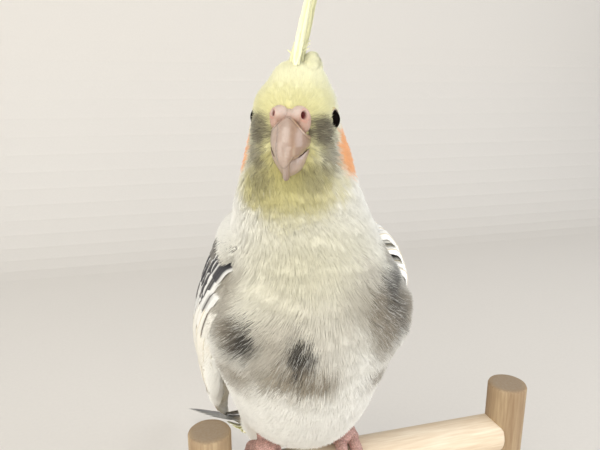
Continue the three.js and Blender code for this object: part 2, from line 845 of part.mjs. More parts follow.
function tailSolid(grow = 0) {
  drawState = TAIL_SEED;
  const frame = tailFrame();
  const last = TORSO_ROWS.length - 1;
  const start = torsoRing(last);
  const normal = middleOf(start)
    .sub(middleOf(torsoRing(last - 0.05)))
    .normalize();
  const rings = [moved(start, normal.multiplyScalar(GAP))];
  const shapes = [
    [9, 11.6, 6.6],
    [20, 10.4, 4.4],
    [32, 8.4, 2.8],
    [42, 5, 1.4],
  ];
  for (const [far, wide, high] of shapes) {
    const ring = [];
    for (let i = 0; i < TORSO_SIDES; i++) {
      const angle = (i / TORSO_SIDES) * Math.PI * 2;
      ring.push(
        frame.root
          .clone()
          .addScaledVector(frame.along, far)
          .addScaledVector(frame.across, Math.cos(angle) * (wide + grow))
          .addScaledVector(frame.facing, Math.sin(angle) * (high + grow)),
      );
    }
    rings.push(ring);
  }
  const pieces = [solidOf(loft(rings))];
  for (let pair = TAIL_PAIRS - 1; pair >= 0; pair--) {
    for (const side of [-1, 1]) {
      const length = TAIL_LENGTH - [0, 6, 22, 38, 54, 70][pair] + draw(1.5) - 12;
      pieces.push(
        tailFeather(frame, {
          start: 12,
          length,
          side: side * (1.6 + pair * 1.25),
          spread: pair ? 0.35 : 0,
          lift: 0.9 - pair * 0.5 + (side > 0 ? 0.22 : 0),
          half: 5 - pair * 0.1,
          point: pair < 2 ? 0.35 : 0.6,
        }, grow),
      );
    }
  }
  const coverts = [
    { sign: 1, reach: 46, half: 5 },
    { sign: -1, reach: 40, half: 5 },
  ];
  for (const { sign, reach, half } of coverts) {
    for (const place of [-5.5, 0.3, 5.5]) {
      pieces.push(
        tailFeather(frame, {
          start: 8,
          length: reach - Math.abs(place) * 1.6 + draw(1),
          side: place,
          spread: 0,
          lift: sign * 3.1,
          half,
          point: 0.5,
          bend: -sign * 1,
        }, grow),
      );
    }
  }
  return union(pieces);
}

// Stand
function rod(x, grow = 0) {
  const length = PERCH_TOP + ROD_RISE - BASE_THICK - GAP;
  const geometry = new THREE.CylinderGeometry(DOWEL_R + grow, DOWEL_R + grow, length, 28);
  geometry.rotateX(Math.PI / 2);
  geometry.translate(x, PERCH_Y, BASE_THICK + GAP + length / 2);
  return solidOf(geometry);
}

function perchSolid(grow = 0) {
  const length = ROD_LEFT_X - ROD_RIGHT_X;
  const geometry = new THREE.CylinderGeometry(DOWEL_R + grow, DOWEL_R + grow, length, 28);
  geometry.rotateZ(Math.PI / 2);
  geometry.translate(0, PERCH_Y, PERCH_TOP - DOWEL_R);
  return solidOf(geometry);
}

function baseSolid() {
  const wide = BASE_LENGTH / 2 - BASE_BEVEL;
  const deep = BASE_WIDTH / 2 - BASE_BEVEL;
  const r = BASE_CORNER - BASE_BEVEL;
  const outline = new THREE.Shape();
  outline.absarc(wide - r, deep - r, r, 0, Math.PI / 2);
  outline.absarc(-wide + r, deep - r, r, Math.PI / 2, Math.PI);
  outline.absarc(-wide + r, -deep + r, r, Math.PI, Math.PI * 1.5);
  outline.absarc(wide - r, -deep + r, r, Math.PI * 1.5, Math.PI * 2);
  const geometry = new THREE.ExtrudeGeometry(outline, {
    depth: BASE_THICK - 2 * BASE_BEVEL,
    bevelThickness: BASE_BEVEL,
    bevelSize: BASE_BEVEL,
    bevelSegments: 1,
    curveSegments: 4,
  });
  geometry.translate(0, 0, BASE_BEVEL);
  return solidOf(geometry);
}

function buildStand(look) {
  const group = new THREE.Group();
  const rods = union([rod(ROD_LEFT_X, GAP), rod(ROD_RIGHT_X, GAP)]);
  group.add(
    meshOf('stand_base', baseSolid(), look.base),
    meshOf('stand_rod_left', rod(ROD_LEFT_X), look.wood),
    meshOf('stand_rod_right', rod(ROD_RIGHT_X), look.wood),
    meshOf('perch', perchSolid().subtract(rods), look.wood),
  );
  return group;
}

function buildBird(look) {
  const group = new THREE.Group();
  const headGroup = buildHead(look);
  const fullPerch = perchSolid(GAP * 2).translate([-BIRD_X, -PERCH_Y, -BIRD_Z]);
  const feetGrown = union([footSolid(1, GAP), footSolid(-1, GAP)]);
  const legsGrown = union([legSolid(1, GAP), legSolid(-1, GAP)]);
  const torso = torsoSolid(0).subtract(legsGrown).subtract(feetGrown).subtract(fullPerch);
  const carrier = torsoSolid(GAP).add(tailSolid(GAP));
  group.add(
    headGroup,
    meshOf('neck', neckSolid(headGroup), look.breast),
    meshOf('torso', torso, look.breast),
    meshOf('tail', tailSolid(), look.tail),
  );
  for (const [side, name] of [
    [1, 'left'],
    [-1, 'right'],
  ]) {
    group.add(
      meshOf('wing_' + name, wing(side, carrier), look.wing),
      meshOf('leg_' + name, legSolid(side).subtract(feetGrown).subtract(fullPerch), look.breast),
      meshOf('foot_' + name, footSolid(side), look.foot),
    );
    TOES.forEach((digit, i) => {
      group.add(meshOf('claw_' + name + '_' + (i + 1), claw(side, digit), look.claw));
    });
  }
  group.position.set(BIRD_X, PERCH_Y, BIRD_Z);
  return group;
}

const look = {
  crown: material(0xe9e27a, 0.9),
  crest: material(0xeee67c, 0.85),
  cere: material(0xd8a79c, 0.6),
  beak: material(0xd7b3a0, 0.4),
  eye: material(0x0b0908, 0.08),
  breast: material(0xe6e4d4, 0.95),
  wing: material(0xb9b6ae, 0.85),
  tail: material(0x6b6b6c, 0.8),
  foot: material(0xc78f86, 0.7),
  claw: material(0x4c403a, 0.45),
  wood: material(0xcbab83, 0.7),
  base: material(0xd3b68f, 0.6),
};

const model = new THREE.Group();
model.add(buildStand(look), buildBird(look));

export default model;
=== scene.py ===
# %% [markdown]
# A life-size cockatiel on a short wooden perch. The solids come in as a fixed frame, and
# this lesson dresses them: one skin, a coat of small feathers, long feathers for the wings,
# tail and crest, then bill, eyes and feet. All lengths are worked out in millimetres.

import bpy
import numpy as np
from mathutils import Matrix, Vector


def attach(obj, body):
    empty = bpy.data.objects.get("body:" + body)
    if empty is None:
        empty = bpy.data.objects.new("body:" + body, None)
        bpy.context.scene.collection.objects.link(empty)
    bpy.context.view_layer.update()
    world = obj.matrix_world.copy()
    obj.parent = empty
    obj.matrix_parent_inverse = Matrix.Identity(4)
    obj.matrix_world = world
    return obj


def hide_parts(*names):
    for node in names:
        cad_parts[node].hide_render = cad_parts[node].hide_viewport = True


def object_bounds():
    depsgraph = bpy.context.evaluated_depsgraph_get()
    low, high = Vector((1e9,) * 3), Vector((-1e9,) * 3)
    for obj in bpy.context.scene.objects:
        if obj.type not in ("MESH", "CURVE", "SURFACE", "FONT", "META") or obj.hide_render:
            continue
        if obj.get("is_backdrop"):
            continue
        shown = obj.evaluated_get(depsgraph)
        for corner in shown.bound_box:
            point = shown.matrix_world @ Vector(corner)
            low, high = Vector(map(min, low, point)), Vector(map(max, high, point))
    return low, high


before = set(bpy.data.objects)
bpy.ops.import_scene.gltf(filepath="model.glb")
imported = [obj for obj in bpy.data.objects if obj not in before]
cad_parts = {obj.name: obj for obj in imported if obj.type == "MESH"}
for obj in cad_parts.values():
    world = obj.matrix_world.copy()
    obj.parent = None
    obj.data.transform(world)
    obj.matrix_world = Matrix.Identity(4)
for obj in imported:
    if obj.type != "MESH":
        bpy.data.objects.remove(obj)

MM = 0.001
BIRD_PLACE = np.array([-25.0, -14.0, 96.0])
DOWEL_R = 7.5
PERCH_DROP = 3.9
cad_box = [list(corner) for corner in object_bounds()]
print("solids reach from", np.round(cad_box[0], 4), "to", np.round(cad_box[1], 4))


# %% [markdown]
# The photograph looks down on the bird a little. A lens of 32.4 mm on a 36 mm wide sensor gives
# its perspective. The camera is placed first, so that later choices can be judged through it.

# %% Camera
CAMERA_MM = (-73.55, -181.9, 221.6)
CAMERA_DOWN = 14.0
CAMERA_TURN = -15.4
LENS_MM = 32.4
SENSOR_MM = 36
NEAREST = 0.005


def add_object(name, data):
    """An object that shows some data, placed in the scene."""
    made = bpy.data.objects.new(name, data)
    bpy.context.scene.collection.objects.link(made)
    return made


camera_data = bpy.data.cameras.new("camera")
camera_data.lens = LENS_MM
camera_data.sensor_width = SENSOR_MM
camera_data.clip_start = NEAREST
camera = add_object("camera", camera_data)
camera.location = np.array(CAMERA_MM) * MM
camera.rotation_euler = (np.radians(90 - CAMERA_DOWN), 0, np.radians(CAMERA_TURN))
bpy.context.scene.camera = camera
print("camera at", CAMERA_MM, "mm, looking down", CAMERA_DOWN, "degrees")


# %% [markdown]
# Colours are written as the hex codes a painter would pick on a screen. The renderer works
# in linear light, so one function turns each code into linear red, green and blue.

# %% Colour and node helpers
def linear(code):
    """sRGB hex to linear light: c / 12.92 near black, else ((c + 0.055) / 1.055) ^ 2.4."""
    channels = np.array([int(code[i:i + 2], 16) / 255 for i in (0, 2, 4)])
    return np.where(channels <= 0.04045, channels / 12.92, ((channels + 0.055) / 1.055) ** 2.4)


def rgba(code):
    """The same with a fourth channel of 1, for a node's colour socket."""
    return (*linear(code), 1.0)


def add_node(tree, kind, settings=None, links=None):
    """Adds one node. settings are sockets or options, and links bring other sockets in."""
    made = tree.nodes.new(kind)
    for key, value in (settings or {}).items():
        if isinstance(key, int) or key in made.inputs:
            made.inputs[key].default_value = value
        else:
            setattr(made, key, value)
    for key, source in (links or {}).items():
        tree.links.new(source, made.inputs[key])
    return made


def new_material(name, settings):
    """A material with its shader and the place on the object. Returns material, tree, shader
    and place."""
    material = bpy.data.materials.new(name)
    material.use_nodes = True
    tree = material.node_tree
    tree.nodes.clear()
    shader = add_node(tree, "ShaderNodeBsdfPrincipled", settings)
    add_node(tree, "ShaderNodeOutputMaterial", links={"Surface": shader.outputs[0]})
    place = add_node(tree, "ShaderNodeTexCoord").outputs["Object"]
    return material, tree, shader, place


def mottled(tree, vector, scale, detail, low, high):
    """Noise that runs from one hex colour to another. Returns the colour and the noise."""
    noise = add_node(tree, "ShaderNodeTexNoise", {"Scale": scale, "Detail": detail},
                     {"Vector": vector}).outputs[0]
    mix = add_node(tree, "ShaderNodeMix", {"data_type": "RGBA", 6: rgba(low), 7: rgba(high)},
                   {0: noise})
    return mix.outputs[2], noise


def tinted(tree, colour):
    """A colour multiplied by the tint that the mesh stores."""
    tint = add_node(tree, "ShaderNodeAttribute", {"attribute_name": "plumage"})
    settings = {"data_type": "RGBA", "blend_type": "MULTIPLY", 0: 1.0}
    return add_node(tree, "ShaderNodeMix", settings,
                    {6: colour, 7: tint.outputs["Color"]}).outputs[2]


def brightened(tree, colour, value, spread):
    """A colour made darker and lighter by spread, as a value goes from 0 to 1."""
    light = add_node(tree, "ShaderNodeMapRange", {"To Min": 1 - spread, "To Max": 1 + spread},
                     {"Value": value})
    return add_node(tree, "ShaderNodeVectorMath", {"operation": "SCALE"},
                    {0: colour, "Scale": light.outputs[0]}).outputs[0]


def finish_shader(tree, shader, colour, height=None, strength=0.0, depth=0.0):
    """Joins a colour to the shader, and a height as bump that is depth metres high."""
    tree.links.new(colour, shader.inputs["Base Color"])
    if height is not None:
        bump = add_node(tree, "ShaderNodeBump", {"Strength": strength, "Distance": depth},
                        {"Height": height})
        tree.links.new(bump.outputs[0], shader.inputs["Normal"])


print("cream white in linear light is", np.round(linear("faf8ef"), 3))


# %% [markdown]
# A feather's colour is worked out where its root sits and stored on the mesh, so skin and
# feathers always agree. Feather keratin is matt and a little fuzzy: high roughness and some
# sheen. Barbs lie side by side about 0.5 mm apart here, coarser than life so that they show.

# %% Feather materials
BARB_SPACING = 0.5


def stored_colour(tree, place, spread):
    """The stored colour, made a little lighter and darker by noise 1.2 mm across."""
    colour = add_node(tree, "ShaderNodeAttribute", {"attribute_name": "plumage"})
    noise = add_node(tree, "ShaderNodeTexNoise", {"Scale": 800.0, "Detail": 3.0},
                     {"Vector": place})
    return brightened(tree, colour.outputs["Color"], noise.outputs[0], spread)


def down_material():
    """Soft body feathers: matt keratin with sheen, so thin that light comes through."""
    settings = {"Roughness": 0.88, "Specular IOR Level": 0.2,
                "Sheen Weight": 0.25, "Sheen Roughness": 0.6,
                "Subsurface Weight": 0.1, "Subsurface Scale": 0.001,
                "Subsurface Radius": (1.2, 1.1, 0.8)}
    material, tree, shader, place = new_material("soft_contour_feathers", settings)
    finish_shader(tree, shader, stored_colour(tree, place, 0.03))
    return material


def quill_material():
    """Firm flight feathers: smoother keratin, with the ridges of their barbs as bump."""
    settings = {"Roughness": 0.6, "Specular IOR Level": 0.35, "Sheen Weight": 0.1}
    material, tree, shader, place = new_material("firm_vaned_feathers", settings)
    barb = add_node(tree, "ShaderNodeAttribute", {"attribute_name": "barb"})
    turns = add_node(tree, "ShaderNodeMath", {"operation": "MULTIPLY", 1: 2 * np.pi / BARB_SPACING},
                     {0: barb.outputs["Fac"]})
    ridge = add_node(tree, "ShaderNodeMath", {"operation": "SINE"}, {0: turns.outputs[0]})
    finish_shader(tree, shader, stored_colour(tree, place, 0.06), ridge.outputs[0], 0.35, 0.00012)
    return material


soft_feathers = down_material()
firm_feathers = quill_material()
print("feather materials:", soft_feathers.name, firm_feathers.name)


# %% [markdown]
# Every new piece is an array of points and an array of faces. One function makes them a mesh
# with its colours and maps, moves it from the bird's own place to the model's, and lets it
# ride on the one fixed body. Nearly every shape is a grid that closes round its columns.

# %% Mesh helper
# What a point may store: name on the mesh, type and field
STORES = {"plumage": ("plumage", "FLOAT_COLOR", "color"), "barb": ("barb", "FLOAT", "value"),
          "facing": ("custom_normal", "FLOAT_VECTOR", "vector")}


def piece(name, points, faces, material, extras=None, place=BIRD_PLACE):
    """Points in mm and faces as one object at the origin: (point + place) * 0.001. extras may
    hold plumage (colours), barb (a length in mm), facing (shading directions) and OFBake (a
    UV map), one row a point."""
    extras = dict(extras or {})
    faces = np.asarray(faces, np.int32)
    corners = faces.shape[1]
    mesh = bpy.data.meshes.new(name)
    mesh.vertices.add(len(points))
    mesh.vertices.foreach_set("co", ((points + place) * MM).astype(np.float32).ravel())
    mesh.loops.add(faces.size)
    mesh.loops.foreach_set("vertex_index", faces.ravel())
    mesh.polygons.add(len(faces))
    mesh.polygons.foreach_set("loop_start", np.arange(0, faces.size, corners, dtype=np.int32))
    mesh.update(calc_edges=True)
    mesh.polygons.foreach_set("use_smooth", np.ones(len(faces), bool))
    if "plumage" in extras:
        extras["plumage"] = np.column_stack([np.clip(extras["plumage"], 0, 1),
                                             np.ones(len(points))])
    if "OFBake" in extras:
        layer = mesh.uv_layers.new(name="OFBake")
        layer.data.foreach_set("uv", extras["OFBake"][faces.ravel()].astype(np.float32).ravel())
    for key, (layer_name, kind, field) in STORES.items():
        if key in extras:
            store = mesh.attributes.new(layer_name, kind, "POINT")
            store.data.foreach_set(field, extras[key].astype(np.float32).ravel())
    mesh.materials.append(material)
    made = add_object(name, mesh)
    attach(made, "root")
    print(name, "has", len(points), "points and", len(faces), "faces")
    return made


def unit(vectors):
    """Vectors divided by their own length."""
    return vectors / np.maximum(np.linalg.norm(vectors, axis=-1, keepdims=True), 1e-9)


def ball_grid(rows, columns):
    """A ball of radius 1: (sin p cos q, sin p sin q, cos p)."""
    p = np.linspace(0.01, np.pi - 0.01, rows)[:, None]
    q = (np.arange(columns) / columns * 2 * np.pi)[None]
    return np.stack([np.sin(p) * np.cos(q), np.sin(p) * np.sin(q), np.cos(p) * np.ones_like(q)], -1)


def grid_faces(rows, columns, closed=True):
    """Quads over a grid of rows by columns, joined round its columns where closed."""
    r, c = np.meshgrid(np.arange(rows - 1), np.arange(columns if closed else columns - 1),
                       indexing="ij")
    n = (c + 1) % columns
    quads = np.stack([r * columns + c, r * columns + n, (r + 1) * columns + n,
                      (r + 1) * columns + c], axis=-1)
    return quads.reshape(-1, 4)


def face_out(points, faces):
    """Turns all faces round if the volume that they hold comes out negative."""
    a, b, c = points[faces[:, 0]], points[faces[:, 1]], points[faces[:, 2]]
    volume = np.sum(a * np.cross(b, c))
    if faces.shape[1] == 4:
        volume += np.sum(a * np.cross(c, points[faces[:, 3]]))
    return faces if volume > 0 else faces[:, ::-1]


def closed_tube(rings):
    """Grid points and quads that face out, each end closed by a ring shrunk on to its own
    middle: middle + (ring - middle) * 0.01."""
    ends = [np.broadcast_to(rings[k].mean(0), rings[k].shape) for k in (0, -1)]
    small = [ends[0] + (rings[0] - ends[0]) * 0.01, ends[1] + (rings[-1] - ends[1]) * 0.01]
    rings = np.concatenate([[small[0]], rings, [small[1]]])
    points = rings.reshape(-1, 3)
    return points, face_out(points, grid_faces(*rings.shape[:2]))


def join(parts):
    """Several point and face arrays as one, with the later faces counted on."""
    points = np.concatenate([p for p, _ in parts])
    starts = np.cumsum([0] + [len(p) for p, _ in parts[:-1]])
    faces = np.concatenate([f + start for (_, f), start in zip(parts, starts)])
    return points, faces


print("a ball of 4 rows of 6 has", len(closed_tube(ball_grid(4, 6))[1]), "faces")


# %% [markdown]
# The body's outline is a stack of tilted ovals, each given by its front point, back point
# and half width, with a smooth curve through the rows. Head, neck and torso become one grid
# that carries the skin and every small feather.

# %% Outline of the body
HEAD_PLACE = np.array([-3.2, 2.9, 117.1])
HEAD_TURN = np.radians(-21.5)
HEAD_ROLL = np.radians(2.0)
BODY_SIDES = 144
HEAD_FULL, TORSO_FULL = 2.1, 2.0

# Columns: front y and z, back y and z, half width, turn in degrees, shift to the side
HEAD_ROWS = np.array([
    [-12.5, -17.5, 14.5, -15, 18.8, 0, 1.5],
    [-12.9, -12, 16.6, -8.5, 17.3, 0, 1.2],
    [-13.1, -6.5, 17.5, -2.5, 15.4, 0, 0.5],
    [-13.3, -1, 17.4, 3, 14.1, 0, 0.1],
    [-13.4, 4, 16.1, 8, 13.2, 0, 0.2],
    [-12, 9, 13.5, 12.4, 11.2, 0, 0.5],
    [-9, 13, 9.8, 15.9, 8.3, 0, 0.7],
    [-5.2, 16, 5.6, 17.9, 5.2, 0, 0.7],
    [-1.4, 17.7, 1.6, 18.4, 1.6, 0, 0.7],
])
TORSO_ROWS = np.array([
    [-17.5, 86, 22, 91.5, 22.4, -8, -1.6],
    [-23.2, 76, 27, 82, 25, -3, -0.6],
    [-27.2, 64, 32, 71, 28.5, 0, 0],
    [-29, 51, 36.5, 60, 31, 0, 0],
    [-28.2, 38, 40.5, 49, 31.4, 0, 0],
    [-24.5, 25, 44, 38, 29.6, 0, 0],
    [-18.8, 12.4, 47.5, 27, 26.8, 0, 0],
    [-10, 3, 51, 17, 23.8, 0, 0],
    [4, -2.5, 54, 7, 21.6, 1, 0],
    [18, -12, 56.5, -1, 19.4, 3, -0.5],
    [32, -23, 57.5, -9, 16.4, 7, -1.2],
    [44.5, -33.5, 54, -16.5, 13, 11, -2.2],
])
# Columns: side, centre y and z, reach along y, up and down, push outward
FLANKS = np.array([
    [1, -5, 49, 17, 20, 13, 8.4],
    [-1, -5, 43, 17, 20, 14, 3.6],
])


def smooth_rows(rows, t):
    """A cubic through four neighbouring rows, at fraction f between the middle two."""
    first = np.clip(np.floor(t).astype(int), 0, len(rows) - 2)
    f = (t - first)[:, None]
    a, b, c, d = (rows[np.clip(first + k, 0, len(rows) - 1)] for k in (-1, 0, 1, 2))
    bend = 2 * a - 5 * b + 4 * c - d
    twist = 3 * b - a - 3 * c + d
    return 0.5 * (2 * b + (c - a) * f + bend * f ** 2 + twist * f ** 3)


def full_round(sides, full):
    """cos' and sin' once round, with cos' = cos ^ (2 / full) and the sign kept. A round has
    full 2, and a higher value is fuller at its four corners."""
    angle = np.arange(sides) / sides * 2 * np.pi
    return [np.sign(k(angle)) * np.abs(k(angle)) ** (2 / full) for k in (np.cos, np.sin)]


def ovals(rows, t, sides, full):
    """Middle + across * half * cos' + along * depth * sin', with the row's turn about Z."""
    fy, fz, by, bz, half, turn, side = smooth_rows(rows, np.asarray(t, float)).T
    turn = np.radians(turn)
    wide, deep = full_round(sides, full)
    across = np.stack([np.cos(turn), np.sin(turn), 0 * turn], -1)
    depth = np.stack([-np.sin(turn) * (by - fy), np.cos(turn) * (by - fy), bz - fz], -1) / 2
    middle = np.stack([side, (fy + by) / 2, (fz + bz) / 2], -1)
    return (middle[:, None] + (across * half[:, None])[:, None] * wide[None, :, None]
            + depth[:, None] * deep[None, :, None])


def head_to_bird(points):
    """Rolls about Y, turns about Z, then moves from between the eyes to the head's place."""
    c, s = np.cos(HEAD_ROLL), np.sin(HEAD_ROLL)
    roll = np.array([[c, 0, s], [0, 1, 0], [-s, 0, c]])
    c, s = np.cos(HEAD_TURN), np.sin(HEAD_TURN)
    turn = np.array([[c, -s, 0], [s, c, 0], [0, 0, 1]])
    return points @ (turn @ roll).T + HEAD_PLACE


def head_way(ways):
    """Directions turned as the head is, but not moved."""
    return head_to_bird(ways) - HEAD_PLACE


def bird_to_head(points):
    """The way back, worked out from where the head's own axes go."""
    return (points - HEAD_PLACE) @ head_way(np.eye(3)).T


def swell(points):
    """Pushes flank points outward by push * exp(-(distance / reach) ^ 2)."""
    points = points.copy()
    for side, y, z, reach, up, down, push in FLANKS:
        ahead = (points[..., 1] - y) / reach
        above = points[..., 2] - z
        high = above / np.where(above > 0, up, down)
        flank = np.clip(side * points[..., 0] / 26, 0, 1) ** 2
        points[..., 0] += side * push * flank * np.exp(-ahead ** 2 - high ** 2)
    return points


def neck_rings(above, top, bottom, below, count):
    """Rings that leave one and arrive at the other in its own direction, as a cubic."""
    s = (np.arange(1, count) / count)[:, None, None]
    ease = s * s * (3 - 2 * s)
    leave, arrive = (top - above), (below - bottom)
    return (top * (1 - ease) + bottom * ease + leave * s * (1 - s) ** 2 * 1.2
            + arrive * s * s * (s - 1) * 1.2)


HEAD_RINGS, NECK_RINGS, TORSO_RINGS = 64, 20, 130
SMOOTHINGS = 12
JOIN_AT = 0.6
RUFFLE_STEP = 11.0
RUFFLE_DEPTH = 0.55
FLUFF_DEPTH = 0.45


def ruffled(rings):
    """Soft ledges where rows of feathers overlap: sin(p) + 0.4 sin(2p), with p the height
    over the step, wandering round the body, and small lumps on the crown."""
    height, side = rings[..., 2], rings[..., 0]
    wander = 1.6 * np.sin(side / 9 + 1.0) + 1.2 * np.sin(side / 4.3 + height / 17)
    p = -(height + wander) / RUFFLE_STEP * 2 * np.pi
    share = np.clip((100 - height) / 14, 0, 1) * np.clip((height - 15) / 20, 0, 1)
    front = np.clip(-rings[..., 1] / 14, 0, 1)
    rise = RUFFLE_DEPTH * (np.sin(p) + 0.4 * np.sin(2 * p)) * share * front
    crown = np.clip((height - 112) / 12, 0, 1)
    x, y, z = np.moveaxis(rings, -1, 0)
    lumps = np.sin(x / 1.9 + z / 2.7) + np.sin(y / 2.1 - z / 2.3 + 2) + np.sin((x + y) / 1.3)
    rise = rise + FLUFF_DEPTH * lumps / 3 * crown
    middle = rings.mean(1, keepdims=True)
    return rings + unit(rings - middle) * rise[..., None]


# Where the head's feathers stand out or lie flat, before the eyes, beside the crown and over
# the right eye: place in the head's space, reach and push
PUFFS = (((12.0, -9.0, -1.5), (4.6, 4.2, 7.5), (1.1, -1.0, 0)),
         ((-12.0, -9.0, -1.5), (4.6, 4.2, 7.5), (-1.2, -1.0, 0)),
         ((10.8, -2.0, 11.0), (5.0, 9.0, 4.0), (-1.3, 0, -0.2)),
         ((-11.0, -2.0, 10.5), (5.0, 9.0, 4.5), (0.9, 0, -0.2)),
         ((-12.5, -6.0, 6.2), (4.0, 5.0, 2.2), (-0.7, -0.2, 0)))


def puffed(points):
    """Moves points near each place by push * exp(-(distance / reach) ^ 2)."""
    for place, reach, push in PUFFS:
        far = np.sum(((points - np.array(place)) / np.array(reach)) ** 2, -1, keepdims=True)
        points = points + np.array(push) * np.exp(-far)
    return points


def body_grid():
    """The outer surface of the plumage from crown to tail root, rings by sides. Each pass of
    smoothing puts a ring at (before + 2 * own + after) / 4."""
    head_t = (len(HEAD_ROWS) - 1) * (1 - np.arange(HEAD_RINGS) / (HEAD_RINGS - 1))
    head = head_to_bird(puffed(ovals(HEAD_ROWS, head_t, BODY_SIDES, HEAD_FULL)))
    torso_t = (len(TORSO_ROWS) - 1) * np.arange(TORSO_RINGS) / (TORSO_RINGS - 1)
    torso = swell(ovals(TORSO_ROWS, torso_t, BODY_SIDES, TORSO_FULL))
    near = head_to_bird(ovals(HEAD_ROWS, [JOIN_AT], BODY_SIDES, HEAD_FULL))[0]
    after = swell(ovals(TORSO_ROWS, [JOIN_AT], BODY_SIDES, TORSO_FULL))[0]
    neck = neck_rings(near, head[-1], torso[0], after, NECK_RINGS)
    rings = np.concatenate([head, neck, torso])
    for _ in range(SMOOTHINGS):
        rings[1:-1] = (rings[:-2] + 2 * rings[1:-1] + rings[2:]) / 4
    return ruffled(rings)


body = body_grid()
print("body grid", body.shape, "from", np.round(body.min((0, 1)), 1), "to",
      np.round(body.max((0, 1)), 1))


# %% [markdown]
# The grid also tells which way is out and which way is down the body. The skin lies inside
# the plumage by the depth of the coat: about 1 mm on the face and 2.6 mm on the breast.

# %% Surface of the body
def slopes(rings):
    """Change along the rings and round them, by the difference of the two neighbours."""
    down = np.gradient(rings, axis=0)
    around = (np.roll(rings, -1, 1) - np.roll(rings, 1, 1)) / 2
    return down, around


body_down, body_around = slopes(body)
body_out = unit(np.cross(body_down, body_around))
if np.mean(np.sum(body_out * (body - body.mean(1, keepdims=True)), -1)) < 0:
    body_out = -body_out

ring_index = np.arange(len(body))
coat_depth = np.interp(ring_index, [0, 40, HEAD_RINGS, HEAD_RINGS + NECK_RINGS, 120, len(body)],
                       [1.0, 1.1, 1.7, 2.3, 2.7, 2.4])
skin = body - body_out * coat_depth[:, None, None]


def sample(field, ring, side):
    """A field of the grid between its points: a weighted mean of the four nearest."""
    ring = np.clip(ring, 0, len(field) - 1.001)
    r, s = np.floor(ring).astype(int), np.floor(side).astype(int)
    fr, fs = (ring - r)[..., None], (side - s)[..., None]
    a, b = s % BODY_SIDES, (s + 1) % BODY_SIDES
    return ((field[r, a] * (1 - fs) + field[r, b] * fs) * (1 - fr)
            + (field[r + 1, a] * (1 - fs) + field[r + 1, b] * fs) * fr)


print("coat depth runs from", coat_depth.min(), "to", coat_depth.max(), "mm")


# %% [markdown]
# The bird is a pied one: yellow face, grey lores, orange cheeks, a cream breast and broken
# grey patches on the flanks and belly. Each marking is a soft ellipsoid in the bird's own
# space with a frayed edge, and one function gives the colour anywhere, for skin and coat.

# %% Markings
CREAM = linear("faf8ef")
WARM_CREAM_AND_SHADE = linear("d0caa8")
YELLOW = linear("ded898")
PALE_YELLOW = linear("faf7c6")
CREST_YELLOW = linear("fffcd2")
BIB_YELLOW = linear("bfb45d")
MOSS_GREY = linear("4f4638")
ORANGE = linear("f9a967")
PALE_ASH = linear("bfb8aa")
ASH = linear("8b806d")
SLATE = linear("1f1911")
FACE_GRAIN, BODY_GRAIN = 2.8, 4.5
BIB_BOTTOM = -30.8
MOTTLE = 0.035


def ripple(points, size, seed):
    """A soft random field from -1 to 1: the sum of four sine waves in different ways."""
    rng = np.random.default_rng(seed)
    total = 0
    for _ in range(4):
        way = unit(rng.normal(size=3)) * 2 * np.pi / (size * rng.uniform(0.7, 1.5))
        total = total + np.sin(points @ way + rng.uniform(0, 6.3))
    return total / 4


def blob(points, centre, radii, soft, fray, seed, grain):
    """1 inside an ellipsoid and 0 outside, over a soft edge that ripples by fray."""
    far = np.linalg.norm((points - np.array(centre)) / np.array(radii), axis=-1)
    far = far + fray * ripple(points, grain, seed)
    return 1 / (1 + np.exp((far - 1) / soft))


# Head markings in the head's own space: centre, radii, softness, fray, colour, strength
FACE_MARKS = [
    ((0, -6, 2), (15, 13, 20), 0.10, 0.05, YELLOW, 0.97),
    ((0, 12, 4), (15, 10, 20), 0.16, 0.08, PALE_YELLOW, 0.8),
    # The top of the crown is paler, partly its own pale yellow and partly a painted highlight.
    ((0, -4, 15), (13, 12, 7), 0.22, 0.2, CREST_YELLOW, 0.9),
    ((0, -8, -23), (17, 17, 14), 0.12, 0.16, BIB_YELLOW, 0.92),
    ((10.3, -10.8, -3.0), (4.6, 5.2, 4.8), 0.12, 0.14, MOSS_GREY, 0.97),
    ((-10.8, -10.4, -3.0), (4.8, 5.5, 4.8), 0.12, 0.14, MOSS_GREY, 0.88),
    ((12.4, -8, -11), (3.4, 5, 6), 0.22, 0.45, MOSS_GREY, 0.75),
    ((-11.2, -9, -11), (3.6, 5, 6.5), 0.22, 0.45, MOSS_GREY, 0.75),
    ((8.5, -13, -18), (4.0, 5, 4), 0.25, 0.5, MOSS_GREY, 0.6),
    ((-9.0, -12, -19), (4.0, 5, 5), 0.25, 0.5, MOSS_GREY, 0.55),
    ((17.0, 1.0, -10.5), (5.0, 7.6, 8.8), 0.06, 0.1, ORANGE, 1.0),
    ((-17.0, 1.4, -9.8), (5.0, 7.8, 8.2), 0.06, 0.1, ORANGE, 1.0),
]

